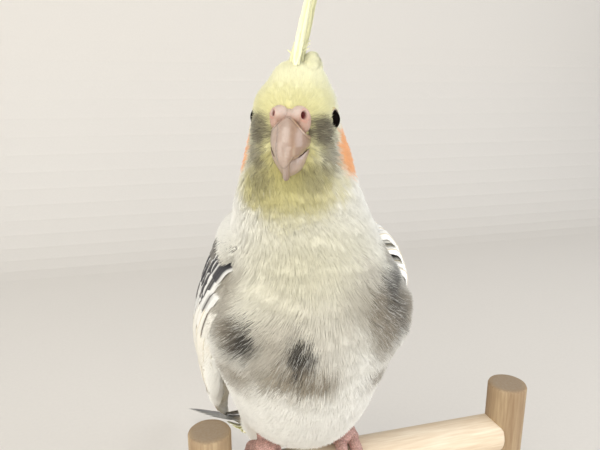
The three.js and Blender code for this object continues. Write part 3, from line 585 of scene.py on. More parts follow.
# Body markings in the bird's space, in the same order
BODY_MARKS = [
    # The breast is a warmer cream than the belly, and painted darker too as painted shade.
    ((-6, -20, 74), (24, 14, 18), 0.45, 0.02, WARM_CREAM_AND_SHADE, 0.9),
    ((-12, -26, 50), (18, 8, 12), 0.3, 0.15, PALE_ASH, 0.75),
    ((-18, -22, 49), (8, 7, 8), 0.3, 0.3, ASH, 0.5),
    ((9, -25, 62), (8, 6, 9), 0.3, 0.3, PALE_ASH, 0.45),
    ((23, -17, 58), (9, 11, 11.5), 0.14, 0.2, SLATE, 0.95),
    ((25, -9.6, 74.3), (2.6, 5, 3.2), 0.15, 0.2, ASH, 0.9),
    ((28, -11.5, 67.5), (3.4, 6, 5.0), 0.15, 0.2, SLATE, 0.75),
    ((31, -11, 54), (7, 9, 8), 0.18, 0.2, ASH, 0.95),
    ((27.5, -17, 50.5), (5, 7, 5.5), 0.2, 0.25, SLATE, 0.6),
    ((16.5, -23, 58.5), (5.5, 7, 7), 0.2, 0.3, ASH, 0.85),
    ((20, -21, 49), (6.5, 8, 7.5), 0.2, 0.25, ASH, 0.9),
    ((10, -25, 63), (6, 6, 6), 0.3, 0.3, ASH, 0.4),
    ((16, -20, 70.5), (5, 5, 3), 0.3, 0.35, PALE_ASH, 0.8),
    ((-28, -7, 68), (4.5, 7, 6.5), 0.2, 0.3, ASH, 0.75),
    ((-27, -15, 51), (7.2, 8.5, 6.8), 0.14, 0.2, SLATE, 1.0),
    ((-31, -9, 55.5), (5, 8, 8), 0.25, 0.3, ASH, 0.75),
    ((-28, -11, 37), (8, 9, 6), 0.22, 0.3, ASH, 0.9),
    ((-17, -23, 40), (9, 6, 4.5), 0.22, 0.3, ASH, 0.85),
    ((-9.2, -27, 47), (4.0, 5, 7.2), 0.14, 0.25, SLATE, 1.0),
    ((-7, -27, 38.5), (8, 6, 4.5), 0.22, 0.3, ASH, 0.9),
    ((-1.5, -28.5, 40.5), (5, 5, 3.6), 0.25, 0.35, ASH, 0.7),
    ((20, -18, 34), (7.5, 8, 3.0), 0.2, 0.25, ASH, 1.0),
    ((27, -11, 37), (4, 7, 4.5), 0.2, 0.25, ASH, 0.9),
    ((0, 30, 80), (26, 16, 20), 0.16, 0.12, ASH, 0.85),
    ((0, 48, 40), (24, 16, 34), 0.2, 0.14, ASH, 0.7),
    ((2, 40, 62), (5, 8, 8), 0.2, 0.2, CREAM, 0.8),
]


def plumage_at(points):
    """The colour of the plumage: cream, with each marking mixed over it in turn."""
    colour = np.broadcast_to(CREAM, points.shape).copy()
    own = bird_to_head(points)
    border = BIB_BOTTOM + 0.022 * own[..., 0] ** 2 + 1.6 * ripple(points, 9, 5)
    below = 1 / (1 + np.exp((border - own[..., 2]) / 1.2))
    for marks, places, first, grain, limit in ((FACE_MARKS, own, 11, FACE_GRAIN, below),
                                               (BODY_MARKS, points, 41, BODY_GRAIN, 1)):
        for seed, (centre, radii, soft, fray, tint, strength) in enumerate(marks, first):
            share = blob(places, centre, radii, soft, fray, seed, grain) * strength * limit
            colour += share[..., None] * (tint - colour)
    return colour * (1 + MOTTLE * ripple(points, 3.2, 8))[..., None]


print("markings:", len(FACE_MARKS), "on the head and", len(BODY_MARKS), "on the body")


# %% [markdown]
# One skin takes the place of head, neck and torso. It carries the same markings as the coat,
# so that nothing shows through between feathers.

# %% Skin
def unwrap(rows, columns):
    """A map of a tube laid flat: sides across and rings upward, kept off the edges."""
    r, c = np.meshgrid(np.arange(rows), np.arange(columns), indexing="ij")
    return np.stack([0.02 + 0.96 * c / columns, 0.02 + 0.96 * r / rows], -1).reshape(-1, 2)


points, faces = closed_tube(skin)
bird_skin = piece("bird_skin", points, faces, soft_feathers,
                  {"plumage": plumage_at(points), "OFBake": unwrap(len(skin) + 2, BODY_SIDES)})
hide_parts("head", "neck", "torso")


# %% [markdown]
# The thighs are feathered too. Each is a short tube from the belly to the top of the foot.

# %% Thighs
def tube(path, radii, up, sides):
    """Ellipses across a path: point + across * wide * cos + over * high * sin."""
    tangent = unit(np.gradient(path, axis=0))
    across = unit(np.cross(tangent, up))
    over = unit(np.cross(across, tangent))
    angle = np.arange(sides) / sides * 2 * np.pi
    wide, high = radii
    return (path[:, None] + across[:, None] * (wide[:, None] * np.cos(angle))[..., None]
            + over[:, None] * (high[:, None] * np.sin(angle))[..., None])


def smooth_path(points, count):
    """A cubic path through a few points, at equal steps of their number."""
    rows = np.asarray(points, float)
    return smooth_rows(rows, np.linspace(0, len(rows) - 1, count))


FOOT_X = 15.0
SIDE_NAMES = {1: "left", -1: "right"}
THIGH_RINGS, THIGH_SIDES = 14, 24
RIGHTWARD = np.array([1.0, 0, 0])


def thigh(side):
    """A tube 16 by 20 mm thick at the belly that narrows evenly to 7 by 9 mm."""
    path = smooth_path([[side * 12.5, 9, 31], [side * 14, 8, 21], [side * FOOT_X, 5, 10.5],
                        [side * FOOT_X, 3.4, 6.2]], THIGH_RINGS)
    share = np.linspace(0, 1, THIGH_RINGS)
    return tube(path, (8.2 - 4.6 * share, 10.2 - 5.6 * share), RIGHTWARD, THIGH_SIDES)


for side, name in SIDE_NAMES.items():
    points, faces = closed_tube(thigh(side))
    thigh_skin = piece(f"thigh_{name}", points, faces, soft_feathers,
                       {"plumage": plumage_at(points),
                        "OFBake": unwrap(THIGH_RINGS + 2, THIGH_SIDES)})
    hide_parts(f"leg_{name}")


# %% [markdown]
# A folded wing lies on a curved sheet through three lines: the leading edge by the breast, the
# line where it stands out most, and the rear edge. The sheet isn't drawn. Feathers lie on it,
# at u from shoulder to tip and v from leading to rear edge.

# %% Where the wings lie
# Columns: leading edge x, y, z, then the outermost line, then the rear edge
WING_STATIONS = np.array([
    [25, -3, 81, 26.6, 9, 82, 8, 23.5, 90],
    [29.6, -5, 67, 31.6, 12, 68, 8, 33.5, 74.5],
    [31.8, -1, 49, 33.8, 15, 50, 7.5, 42, 57],
    [31.4, 10, 30, 33.4, 23, 31, 7, 49, 38],
    [29.2, 24, 12, 31.4, 34, 13, 7, 56, 18],
    [26, 44, -8, 27.4, 50, -6.5, 7.5, 62.5, -3],
    [22, 67, -27, 22.6, 71, -25, 12, 74.5, -23],
    [18.4, 88.5, -43.5, 18, 89.5, -42.5, 16.6, 90, -42],
])
# How far the first two lines move outward at each station, on the left and the right wing
WING_TUCK = {1: [-5, 1, 2, 0, 0, 0, 0, 0], -1: [-5, -2.6, 0.4, 0, 0, 0, 0, 0]}
OUT_AT = 0.38
LEFT_TIP_SHIFT = np.array([-14.0, -4.0, 3.0])


def wing_at(side, u, v):
    """A parabola in v through the three edges, each edge a smooth curve in u."""
    u, v = np.broadcast_arrays(np.asarray(u, float), np.asarray(v, float))
    stations = WING_STATIONS.copy()
    stations[:, [0, 3]] += np.array(WING_TUCK[side])[:, None]
    edges = smooth_rows(stations, u.ravel() * (len(stations) - 1))
    edges = edges.reshape(u.shape + (3, 3))
    a = (v - OUT_AT) * (v - 1) / OUT_AT
    b = v * (v - 1) / (OUT_AT * (OUT_AT - 1))
    c = v * (v - OUT_AT) / (1 - OUT_AT)
    place = np.einsum("...k,...kx->...x", np.stack([a, b, c], -1), edges)
    place = place * np.array([side, 1, 1])
    if side > 0:
        far = np.clip((u - 0.55) / 0.45, 0, 1) ** 2
        place = place + far[..., None] * LEFT_TIP_SHIFT
    return place


def wing_out(side, u, v):
    """The outward direction: the cross product of small steps in u and v."""
    u, v = np.clip(u, 0.01, 0.985), np.clip(v, 0.01, 0.985)
    du = wing_at(side, u + 0.01, v) - wing_at(side, u - 0.01, v)
    dv = wing_at(side, u, v + 0.01) - wing_at(side, u, v - 0.01)
    return unit(np.cross(du, dv)) * side


print("wing tip, right:", np.round(wing_at(-1, 1.0, 0.5), 1))


# %% [markdown]
# A long feather has a shaft with a vane on each side. The vane is a thin closed plate with a
# shallow crown, edges that part in a few places, and a tip that is round or pointed. The shaft
# is a separate tapering rod half sunk in it, because the eye finds its dark line first.

# %% One long feather
COLUMNS = 9
VANE_ROWS, SHORT_ROWS = 26, 14
VANE_THICK = 0.16
BARB_SLOPE = 0.9
ROD_SIDES = 5
ROD_UP = np.array([0.3, 0.2, 1.0])
ATLAS = 15


def vane_width(s, half, full_at, point):
    """Narrow at the quill, full by full_at, then a curve that closes at the tip."""
    quill = 0.4 + 0.6 * np.clip(s / 0.25, 0, 1)
    tip = np.clip((s - full_at) / (1 - full_at), 0, 1)
    return half * quill * np.maximum((1 - tip ** point) ** (1 / 1.9), 0.05)


def parted_edge(rng, splits, rows):
    """1 along the edge, with a few narrow notches where barbs have come apart."""
    s = np.linspace(0, 1, rows)
    edge = 1 + 0.03 * np.sin(s * rng.uniform(20, 40) + rng.uniform(0, 6))
    for _ in range(splits):
        at = rng.uniform(0.45, 0.92)
        edge -= rng.uniform(0.08, 0.3) * np.exp(-((s - at) * rows / 0.6) ** 2)
    return edge


def long_feather(line, out, half, colour_of, rng, number, full_at=0.6, point=2.2, crown=0.12,
                 splits=2, tilt=0.0, shaft=0.32, rows=VANE_ROWS):
    """Vane and shaft along a line: line + across * width * a + out * (crown * width *
    (1 - a^2) +- thickness). colour_of(a, s) gives the colours of vane and shaft at a from -1
    to 1 across and s from 0 to 1 along. Returns points, faces and extras."""
    s = np.linspace(0, 1, rows)
    line, out = resample(line, rows), unit(resample(out, rows))
    way = unit(np.gradient(line, axis=0))
    across = unit(np.cross(out, way))
    across = unit(across + out * np.tan(tilt))
    out = unit(np.cross(way, across))
    a = np.linspace(-1, 1, COLUMNS)
    width = vane_width(s, half, full_at, point)
    edges = np.where(a[None] > 0, parted_edge(rng, splits, rows)[:, None],
                     parted_edge(rng, splits, rows)[:, None])
    reach = 1 + (edges - 1) * np.abs(a[None]) ** 3
    x = width[:, None] * a[None] * reach
    rise = crown * width[:, None] * (1 - a[None] ** 2)
    thick = VANE_THICK * (1 - 0.6 * np.abs(a[None]) ** 2) * (1 - 0.5 * s[:, None])
    middle = line[:, None] + across[:, None] * x[..., None]
    top = middle + out[:, None] * (rise + thick)[..., None]
    under = middle + out[:, None] * (rise - thick)[..., None]
    ring = np.concatenate([top, under[:, ::-1]], 1)
    points, faces = closed_tube(ring)
    across_at = np.concatenate([a, a[::-1]])
    a_all = np.tile(across_at, rows + 2)
    s_all = np.repeat(np.concatenate([[0], s, [1]]), 2 * COLUMNS)
    length = np.linalg.norm(np.diff(line, axis=0), axis=1).sum()
    extras = {"plumage": colour_of(a_all, s_all)[0],
              "barb": s_all * length - np.abs(a_all) * half * BARB_SLOPE,
              "OFBake": atlas_cell(number, a_all, s_all)}
    rod_rise = crown * width + 0.1
    rod_radius = shaft * (1 - 0.75 * s)
    rod = tube(line + out * rod_rise[:, None], (rod_radius, rod_radius), ROD_UP, ROD_SIDES)
    rod_points, rod_faces = closed_tube(rod[1:-1])
    rod_s = np.repeat(np.concatenate([[0], s[1:-1], [1]]), ROD_SIDES)
    flat = np.zeros(len(rod_points))
    rod_extras = {"plumage": colour_of(flat, rod_s)[1], "barb": flat,
                  "OFBake": atlas_cell(number, flat, rod_s)}
    both = join([(points, faces), (rod_points, rod_faces)])
    merged = {key: np.concatenate([extras[key], rod_extras[key]]) for key in extras}
    return both[0], both[1], merged


def resample(line, count):
    """A line of points at an equal number of steps, by straight interpolation."""
    old = np.linspace(0, 1, len(line))
    new = np.linspace(0, 1, count)
    return np.stack([np.interp(new, old, line[:, k]) for k in range(3)], -1)


def atlas_cell(number, a, s):
    """Each feather's own cell in a square map of 15 by 15 cells."""
    column, row = number % ATLAS, number // ATLAS % ATLAS
    return np.stack([(column + 0.5 + 0.44 * a) / ATLAS, (row + 0.06 + 0.88 * s) / ATLAS], -1)


def joined_feathers(name, feathers, material):
    """A list of feathers as one piece."""
    points, faces = join([(p, f) for p, f, _ in feathers])
    extras = {key: np.concatenate([e[key] for _, _, e in feathers]) for key in feathers[0][2]}
    return piece(name, points, faces, material, extras)


# %% [markdown]
# The wing's colours come from the photograph: dark, pointed shoulder feathers with white
# edges, streaked white coverts below them, then long cream feathers with thin dark shafts.
# A pattern is a function of the place on the vane, so every feather has its own crisp edge.

# %% Patterns of the long feathers
WHITE_EDGE = linear("fbfaf5")
LONG_CREAM = linear("e1dccf")
SMOKE_WHITE = linear("d9d8d4")
SHAFT_BROWN = linear("6a5f55")
SHAFT_PALE = linear("d6cdb9")
WING_BLACK = linear("343336")
WING_GREY = linear("62605d")
WING_SMOKE = linear("6f6b65")
TAIL_GREY = linear("8a8b8d")
TAIL_PALE = linear("c0beb8")


def fade(value, low, high):
    """0 below low and 1 above high, smooth between."""
    t = np.clip((value - low) / (high - low), 0, 1)
    return t * t * (3 - 2 * t)


def marked(ground, mark, shaft_colour, share_of):
    """A pattern: ground * (1 - share) + mark * share on the vane, one colour on the shaft."""
    def colour_of(a, s):
        share = share_of(np.abs(a), s)[:, None]
        vane_colour = ground * (1 - share) + mark * share
        return vane_colour, np.broadcast_to(shaft_colour, vane_colour.shape)
    return colour_of


def two_tone(inner, edge, from_a, to_a, shaft_colour, tip=0.0):
    """inner by the shaft and edge outside, with tip adding edge colour towards the end."""
    return marked(inner, edge, shaft_colour,
                  lambda a, s: fade(a + tip * fade(s, 0.7, 1.0), from_a, to_a))


def slit(ground, streak, width, start, end, shaft_colour):
    """A long dark drop by the shaft, from start to end of the feather."""
    def drop(a, s):
        along = fade(s, start, start + 0.12) * (1 - fade(s, end - 0.2, end))
        return (1 - fade(a, width * 0.6, width)) * along
    return marked(ground, streak, shaft_colour, drop)


def spotted(ground, spot, at, size, shaft_colour):
    """One soft round spot on a pale feather, at a place along it."""
    return marked(ground, spot, shaft_colour,
                  lambda a, s: 1 - fade(np.hypot(a / 0.8, (s - at) / size), 0.7, 1.1))


def right_shoulder(at, f, shade, rng):
    """From the top down: plain grey, black with white edges, white with black slits, then
    cream with a few grey tips."""
    if at < 0.155:
        return two_tone(WING_SMOKE * shade, WING_SMOKE * 0.8, 0.7, 1.1, WING_GREY)
    if at < 0.235:
        return two_tone(WING_BLACK * shade, SMOKE_WHITE, 0.62, 0.8, WING_BLACK, 0.1)
    if at < 0.33 and f < 0.7:
        width = rng.uniform(0.3, 0.65)
        dark = WING_BLACK if rng.uniform() < 0.6 else WING_GREY
        return slit(SMOKE_WHITE * shade, dark, width, rng.uniform(0.2, 0.5), 1.05, WING_GREY)
    pale = SMOKE_WHITE + (LONG_CREAM - SMOKE_WHITE) * fade(at, 0.27, 0.46)
    if rng.uniform() < 0.25:
        return slit(pale * shade, WING_SMOKE, 0.25, 0.3, 0.95, SHAFT_BROWN)
    return two_tone(pale * shade, LONG_CREAM, 0.5, 1.0, SHAFT_PALE)


def left_shoulder(at, f, shade, rng):
    """The left wing is white, with dark spots high on its front and a few grey patches."""
    if at < 0.16 and 0.1 < f < 0.5:
        return spotted(WHITE_EDGE * shade, WING_GREY, 0.95, rng.uniform(0.0, 0.3), SHAFT_PALE)
    if f > 0.4 and rng.uniform() < 0.22:
        return slit(WHITE_EDGE * shade, WING_GREY, rng.uniform(0.3, 0.7), 0.3, 1.0, WING_GREY)
    pale = WHITE_EDGE + (LONG_CREAM - WHITE_EDGE) * fade(at, 0.3, 0.46)
    return two_tone(pale * shade, pale, 0.5, 1.0, SHAFT_PALE)


def wing_pattern(side, tier, at, f, rng):
    """The pattern of a feather, by its tier, the u of its tip and its place f across."""
    shade = 1 + rng.uniform(-0.07, 0.04)
    if tier == "primaries":
        return two_tone(LONG_CREAM * shade, LONG_CREAM, 0.55, 0.95, SHAFT_BROWN)
    if tier in ("secondaries", "tertials"):
        return two_tone(LONG_CREAM * shade, LONG_CREAM, 0.5, 1.0, SHAFT_PALE, 0.4)
    at = at + 0.03 * np.sin(f * 9 + 4 * side) + rng.uniform(-0.012, 0.012)
    return (left_shoulder if side > 0 else right_shoulder)(at, f, shade, rng)


print("a covert is", np.round(WING_BLACK, 3), "by its shaft")


# %% [markdown]
# Feathers lie in tiers like tiles on a roof: the longest lowest, each tier covering the roots
# of the one below. A tier is a row of feathers between two end feathers, given as u and v.

# %% Wings
ROOT_DEPTH = -2.2
WING_TILT = 0.16
LINE_STEPS = 12
COVERT_FULL_AT = 0.5
# Tier: count, root at front and rear, tip at front and rear, half widths, lifts, tip shape
WING_TIERS = {
    "primaries": (7, (0.32, 0.14), (0.42, 0.5), (0.99, 0.4), (0.78, 0.66), (4.2, 5.4),
                  (-0.3, 0.1), 0.62),
    "secondaries": (9, (0.32, 0.2), (0.42, 0.84), (0.66, 0.24), (0.72, 0.9), (5.4, 6.0),
                    (0.9, 1.2), 0.72),
    "tertials": (4, (0.36, 0.74), (0.28, 0.92), (0.68, 0.8), (0.56, 0.97), (5.6, 6.0),
                 (1.9, 2.2), 0.6),
}
# Covert rows from the lowest up: u of the tips, length in u, half width in mm
COVERT_ROWS = ((0.475, 0.24, 3.5), (0.41, 0.21, 3.2), (0.355, 0.17, 3.0), (0.31, 0.14, 2.8),
               (0.265, 0.12, 2.7), (0.225, 0.11, 2.6), (0.185, 0.1, 2.5), (0.15, 0.09, 2.4),
               (0.115, 0.08, 2.3))
COVERTS_ACROSS = 13
COVERT_SWEEP = 0.11


def wing_feather(side, root, tip, half, lift, shape, pattern, rng, number):
    """A feather on the wing's sheet, rising from inside it to its own lift. shape is where
    it is full and its number of rows."""
    s = np.linspace(0, 1, LINE_STEPS)
    u = root[0] + (tip[0] - root[0]) * s
    v = root[1] + (tip[1] - root[1]) * s
    out = wing_out(side, u, v)
    rise = ROOT_DEPTH + (lift - ROOT_DEPTH) * fade(s, 0, 0.35) - 0.5 * fade(s, 0.75, 1)
    line = wing_at(side, np.clip(u, 0, 0.998), v) + out * rise[:, None]
    full_at, rows = shape
    return long_feather(line, out, half, pattern, rng, number, full_at=full_at,
                        tilt=side * WING_TILT, rows=rows)


def covert_places(rng):
    """Root, tip, half width, lift and place across of every covert. Rows are set off by half
    a feather, and the tips sweep back from the breast."""
    for k, (at, length, half) in enumerate(COVERT_ROWS):
        for i in range(COVERTS_ACROSS):
            f = (i + 0.5 * (k % 2)) / COVERTS_ACROSS
            tip_u = at + rng.uniform(-0.014, 0.014) + 0.03 * f
            root_v = 0.9 * f + rng.uniform(-0.012, 0.012)
            tip_v = min(root_v + COVERT_SWEEP * (1 - f) + rng.uniform(-0.015, 0.02), 0.96)
            yield ((max(tip_u - length, 0.0), root_v), (tip_u, tip_v),
                   half * rng.uniform(0.85, 1.15), 1.9 + 0.13 * k + rng.uniform(-0.2, 0.25), f)


def wing_feathers(side):
    """Tiers, the lowest first, then coverts. In a tier, root, tip, width and lift run evenly
    from the front feather to the rear one."""
    rng = np.random.default_rng(60 + side)
    feathers = []
    for tier, (count, r0, r1, t0, t1, halves, lifts, full_at) in WING_TIERS.items():
        for i in range(count):
            f = i / (count - 1)
            root = [r0[k] + (r1[k] - r0[k]) * f + rng.uniform(-0.006, 0.006) for k in (0, 1)]
            tip = [t0[k] + (t1[k] - t0[k]) * f + rng.uniform(-0.012, 0.012) for k in (0, 1)]
            half = halves[0] + (halves[1] - halves[0]) * f
            lift = lifts[0] + (lifts[1] - lifts[0]) * f + rng.uniform(-0.15, 0.15)
            pattern = wing_pattern(side, tier, tip[0], f, rng)
            feathers.append(wing_feather(side, root, tip, half, lift, (full_at, VANE_ROWS),
                                         pattern, rng, len(feathers)))
    for root, tip, half, lift, f in covert_places(rng):
        pattern = wing_pattern(side, "coverts", tip[0], f, rng)
        feathers.append(wing_feather(side, root, tip, half, lift, (COVERT_FULL_AT, SHORT_ROWS),
                                     pattern, rng, len(feathers)))
    return feathers


for side, name in SIDE_NAMES.items():
    wing_piece = joined_feathers(f"wing_feathers_{name}", wing_feathers(side), firm_feathers)
    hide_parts(f"wing_{name}")


# %% [markdown]
# The tail is twelve long feathers that lie almost flat on one another, the central pair
# longest, with short soft coverts over and under its root.

# %% Tail
TAIL_SWING, TAIL_SLOPE, TAIL_ROLL = np.radians([15.1, 26.3, -20.0])
TAIL_LENGTH = 133.0
TAIL_QUILL = 12
TAIL_STEPS = (0, 6, 22, 38, 54, 70)

tail_along = np.array([-np.sin(TAIL_SWING) * np.cos(TAIL_SLOPE),
                       np.cos(TAIL_SWING) * np.cos(TAIL_SLOPE), -np.sin(TAIL_SLOPE)])
flat_across = np.array([np.cos(TAIL_SWING), np.sin(TAIL_SWING), 0])
tail_across = (flat_across * np.cos(-TAIL_ROLL)
               + np.cross(tail_along, flat_across) * np.sin(-TAIL_ROLL))
tail_up = unit(np.cross(tail_across, tail_along))
last_oval = ovals(TORSO_ROWS, [len(TORSO_ROWS) - 1.0], BODY_SIDES, TORSO_FULL)
tail_root = swell(last_oval)[0].mean(0)


def tail_feather(start, length, place, spread, lift, half, full_at, bend, pattern, rng, number):
    """A straight line from the root, set off across and up, with a slight bend."""
    s = np.linspace(0, 1, LINE_STEPS)
    far = start + length * s
    sideways = place * (1 + spread * np.clip(far / TAIL_LENGTH, 0, 1))
    rise = lift * (0.2 + 0.8 * np.clip(s / 0.25, 0, 1)) + bend * s * s
    line = (tail_root + tail_along * far[:, None] + tail_across * sideways[:, None]
            + tail_up * rise[:, None])
    out = np.broadcast_to(tail_up, line.shape)
    return long_feather(line, out, half, pattern, rng, number, full_at=full_at,
                        tilt=-0.08 * np.sign(place), splits=3, crown=0.05)


def tail_feathers():
    """Six pairs, the outer and shorter ones first, as they lie under the central pair."""
    rng = np.random.default_rng(31)
    feathers = []
    for pair in range(len(TAIL_STEPS) - 1, -1, -1):
        for side in (-1, 1):
            length = TAIL_LENGTH - TAIL_STEPS[pair] - TAIL_QUILL + rng.uniform(-1.5, 1.5)
            edge = TAIL_PALE if pair else TAIL_GREY * 1.3
            pattern = two_tone(TAIL_GREY * rng.uniform(0.85, 1.1), edge, 0.6, 1.0, SHAFT_BROWN)
            feathers.append(tail_feather(TAIL_QUILL, length, side * (1.4 + pair * 1.25),
                                         0.2 if pair else 0, 0.5 - pair * 0.3 + 0.15 * (side > 0),
                                         5 - pair * 0.1, 0.4 if pair < 2 else 0.65, 0, pattern,
                                         rng, len(feathers)))
    return feathers


def tail_coverts():
    """Soft feathers over and under the tail's root, in three rows on each face."""
    rng = np.random.default_rng(32)
    feathers = []
    for face, reach, tint, edge, shaft in ((1, 46, ASH, PALE_ASH, TAIL_GREY),
                                           (-1, 42, PALE_YELLOW, CREAM, SHAFT_PALE)):
        for row, share in enumerate((1.0, 0.72, 0.45)):
            for place in np.linspace(-8, 8, 7):
                pattern = two_tone(tint * rng.uniform(0.9, 1.05), edge, 0.6, 1.2, shaft)
                lift = face * (4.6 + row * 1.1 - abs(place) * 0.16)
                feathers.append(tail_feather(4, reach * share - abs(place) + rng.uniform(-2, 2),
                                             place + 0.01, 0, lift, 3.6, 0.5, -face * 1.5,
                                             pattern, rng, len(feathers)))
    return feathers


def tail_core():
    """The fleshy root under the coverts: ovals that shrink along the tail."""
    far = np.array([-6, 0, 9, 20, 32, 42.0])
    wide = np.array([11.5, 11.6, 11, 9.6, 7.6, 4.2])
    high = np.array([8.5, 7.6, 5.8, 3.6, 2.2, 0.9])
    path = tail_root + tail_along * far[:, None]
    return tube(path, (wide, high), tail_up, 32)


tail_piece = joined_feathers("tail_long_feathers", tail_feathers(), firm_feathers)
joined_feathers("tail_coverts", tail_coverts(), firm_feathers)
points, faces = closed_tube(tail_core())
piece("tail_root", points, faces, soft_feathers,
      {"plumage": np.broadcast_to(ASH, points.shape), "OFBake": unwrap(8, 32)})
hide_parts("tail")


# %% [markdown]
# The coat is thousands of small feathers. Each is a fan of fine barbs that leave one root, and
# each barb is a thin closed blade. A tuft is bent through three points: its root on the skin,
# its middle just under the plumage and its tip just over it.

# %% One tuft
def tuft_shape(barbs, seed):
    """Blades of a tuft as rows of (across, along, side of blade, lift of blade) and their
    triangles. Each blade has three corners at two places and a tip."""
    rng = np.random.default_rng(seed)
    spread = np.linspace(-1, 1, barbs)
    end = 1 - 0.3 * spread ** 2 - rng.uniform(0, 0.14, barbs)
    lean = spread + rng.uniform(-0.12, 0.12, barbs)
    rows, faces = [], []
    for k in range(barbs):
        start = len(rows)
        for s in (0.0, 0.5 * end[k]):
            x = lean[k] * (0.12 + 0.88 * s ** 0.75)
            for corner in ((-1, 0), (1, 0), (0, 1)):
                rows.append((x, s, *corner))
        rows.append((lean[k] * (0.12 + 0.88 * end[k] ** 0.75), end[k], 0, 0.3))
        a, b, c, d, e, f, tip = range(start, start + 7)
        faces += [(a, c, b), (a, b, e), (a, e, d), (b, c, f), (b, f, e), (c, a, d), (c, d, f),
                  (d, e, tip), (e, f, tip), (f, d, tip)]
    return np.array(rows), np.array(faces)


print("a tuft of 7 barbs has", len(tuft_shape(7, 1)[1]), "triangles")


# %% [markdown]
# Roots are spread evenly by area: each next band of the skin is set off by the golden ratio,
# so that no rows or clumps show. On the face feathers sweep back from the bill, and from the
# neck down they follow the body.

# %% Where the tufts grow
GOLDEN = 0.618
BILL_BASE = np.array([0.0, -17.0, -2.0])
cell_area = np.linalg.norm(np.cross(body_down, body_around), axis=-1)


def scatter(first, last, spacing, rng):
    """Ring and side numbers of roots about spacing mm apart, between two rings."""
    wanted = np.cumsum(cell_area[first:last].sum(1)) / spacing ** 2
    counts = np.diff(np.concatenate([[0], np.floor(wanted)])).astype(int)
    rings, sides = [], []
    for band, count in enumerate(counts):
        total = np.concatenate([[0], np.cumsum(cell_area[first + band])])
        at = (np.arange(count) + GOLDEN * band % 1 + rng.uniform(-0.3, 0.3, count)) / max(count, 1)
        sides.append(np.interp(at % 1 * total[-1], total, np.arange(BODY_SIDES + 1)))
        rings.append(first + band + rng.uniform(0, 1, count))
    return np.concatenate(rings), np.concatenate(sides)


SWEEP = 1.15


def lie_of(ring, side, rng, wander):
    """The way a feather points: back from the bill on the face, down the body below it,
    outwards over the flanks."""
    place = sample(body, ring, side)
    down = unit(sample(body_down, ring, side))
    around = unit(sample(body_around, ring, side))
    angle = side / BODY_SIDES * 2 * np.pi
    front = fade(-np.sin(angle), -0.5, 0.3) * fade(ring, 84, 110) * (1 - fade(ring, 165, 190))
    down = unit(down + around * (SWEEP * np.cos(angle) * front)[:, None])
    out = unit(sample(body_out, ring, side))
    own = bird_to_head(place)
    away = head_to_bird(own + unit(own - BILL_BASE)) - place
    share = fade(own[:, 2], -20, -8)[:, None]
    way = unit(down * (1 - share) + unit(away - out * np.sum(away * out, -1, keepdims=True)) * share)
    turn = rng.normal(0, wander, len(ring))[:, None]
    return unit(way + np.cross(out, way) * turn)


def steps_for(ring, side, way):
    """How many rings and sides one millimetre along way is: two equations, two unknowns."""
    d, a = sample(body_down, ring, side), sample(body_around, ring, side)
    dd, da, aa = (np.sum(x * y, -1) for x, y in ((d, d), (d, a), (a, a)))
    wd, wa = np.sum(way * d, -1), np.sum(way * a, -1)
    det = np.maximum(dd * aa - da * da, 1e-9)
    return (wd * aa - wa * da) / det, (wa * dd - wd * da) / det


print("plumage area is about", int(cell_area.sum()), "square mm")


# %% [markdown]
# Some places stay bare or are hidden: the eyes, the bill with its cere, the wood of the perch
# and most of what the wings cover. Tufts with a root there are left out.

# %% Bare places
EYE_APART = np.array([10.7, -4.2, 0.0])
EYE_SHIFT = np.array([0.5, 0, 0])
EYE_FACING = np.radians(69)
LID_OUT = 1.9
EYE_BARE = 3.05
UNDER_WING = 5.0
COVER_BLOCK = 48
# Middle and half sizes of what stays free of feathers for the bill and for the cere
FACE_BARE = (((0, -13.5, -6.8), (5.9, 5, 10)), ((0, -13.5, 0.6), (5.8, 4, 2.9)))

wing_cover = {side: wing_at(side, *np.meshgrid(np.linspace(0.16, 0.9, 24),
                                               np.linspace(0.2, 0.9, 12), indexing="ij"))
              for side in (1, -1)}


def eye_centre(side):
    """The middle of the eye's ball: apart * (side, 1, 1) + shift, in the head's space."""
    return EYE_APART * np.array([side, 1, 1]) + EYE_SHIFT


def lid_centre(side):
    """A point on the eye's axis, as far out as the lids are."""
    facing = np.array([side * np.sin(EYE_FACING), -np.cos(EYE_FACING), 0])
    return eye_centre(side) + facing * LID_OUT


def is_bare(points):
    """True by the eyes, on the bill and its cere, in the wood and well under a wing."""
    own = bird_to_head(points)
    bare = np.zeros(len(points), bool)
    for side in (1, -1):
        bare |= np.linalg.norm(own - lid_centre(side), axis=-1) < EYE_BARE
        cover = wing_cover[side].reshape(-1, 3)
        near = np.full(len(points), np.inf)
        for start in range(0, len(cover), COVER_BLOCK):
            gap = points[:, None] - cover[None, start:start + COVER_BLOCK]
            near = np.minimum(near, np.linalg.norm(gap, axis=-1).min(1))
        bare |= near < UNDER_WING
    for middle, size in FACE_BARE:
        bare |= np.linalg.norm((own - np.array(middle)) / np.array(size), axis=-1) < 1
    wood = np.hypot(points[:, 1], points[:, 2] + DOWEL_R + PERCH_DROP) < DOWEL_R + 1.0
    return bare | wood


# %% [markdown]
# All tufts of a region are bent at once as one array. Light that enters soft down comes out
# again through its neighbours, so a coat shades like the body under it and not like a heap of
# blades. The stored shading direction is therefore the body's, with a little of each blade's
# roundness, and single barbs are a shade lighter or darker.

# %% Bend and paint tufts
TUFT_KINDS = 4
PATCH = 0.003
BLADE_POINTS = 7
BLADE_HIGH = 0.1
TUFT_CROWN = 0.16
# Share of the pale mix where a feather is dark: on the head little, on the body more
STREAKS = {"head_feathers": (PALE_YELLOW, 0.1), "breast_feathers": (CREAM, 0.36)}


def tuft_weights(s):
    """Shares of root, middle and tip on a parabola through all three."""
    return ((1 - s) * (1 - 2 * s))[:, None], (4 * s * (1 - s))[:, None], (s * (2 * s - 1))[:, None]


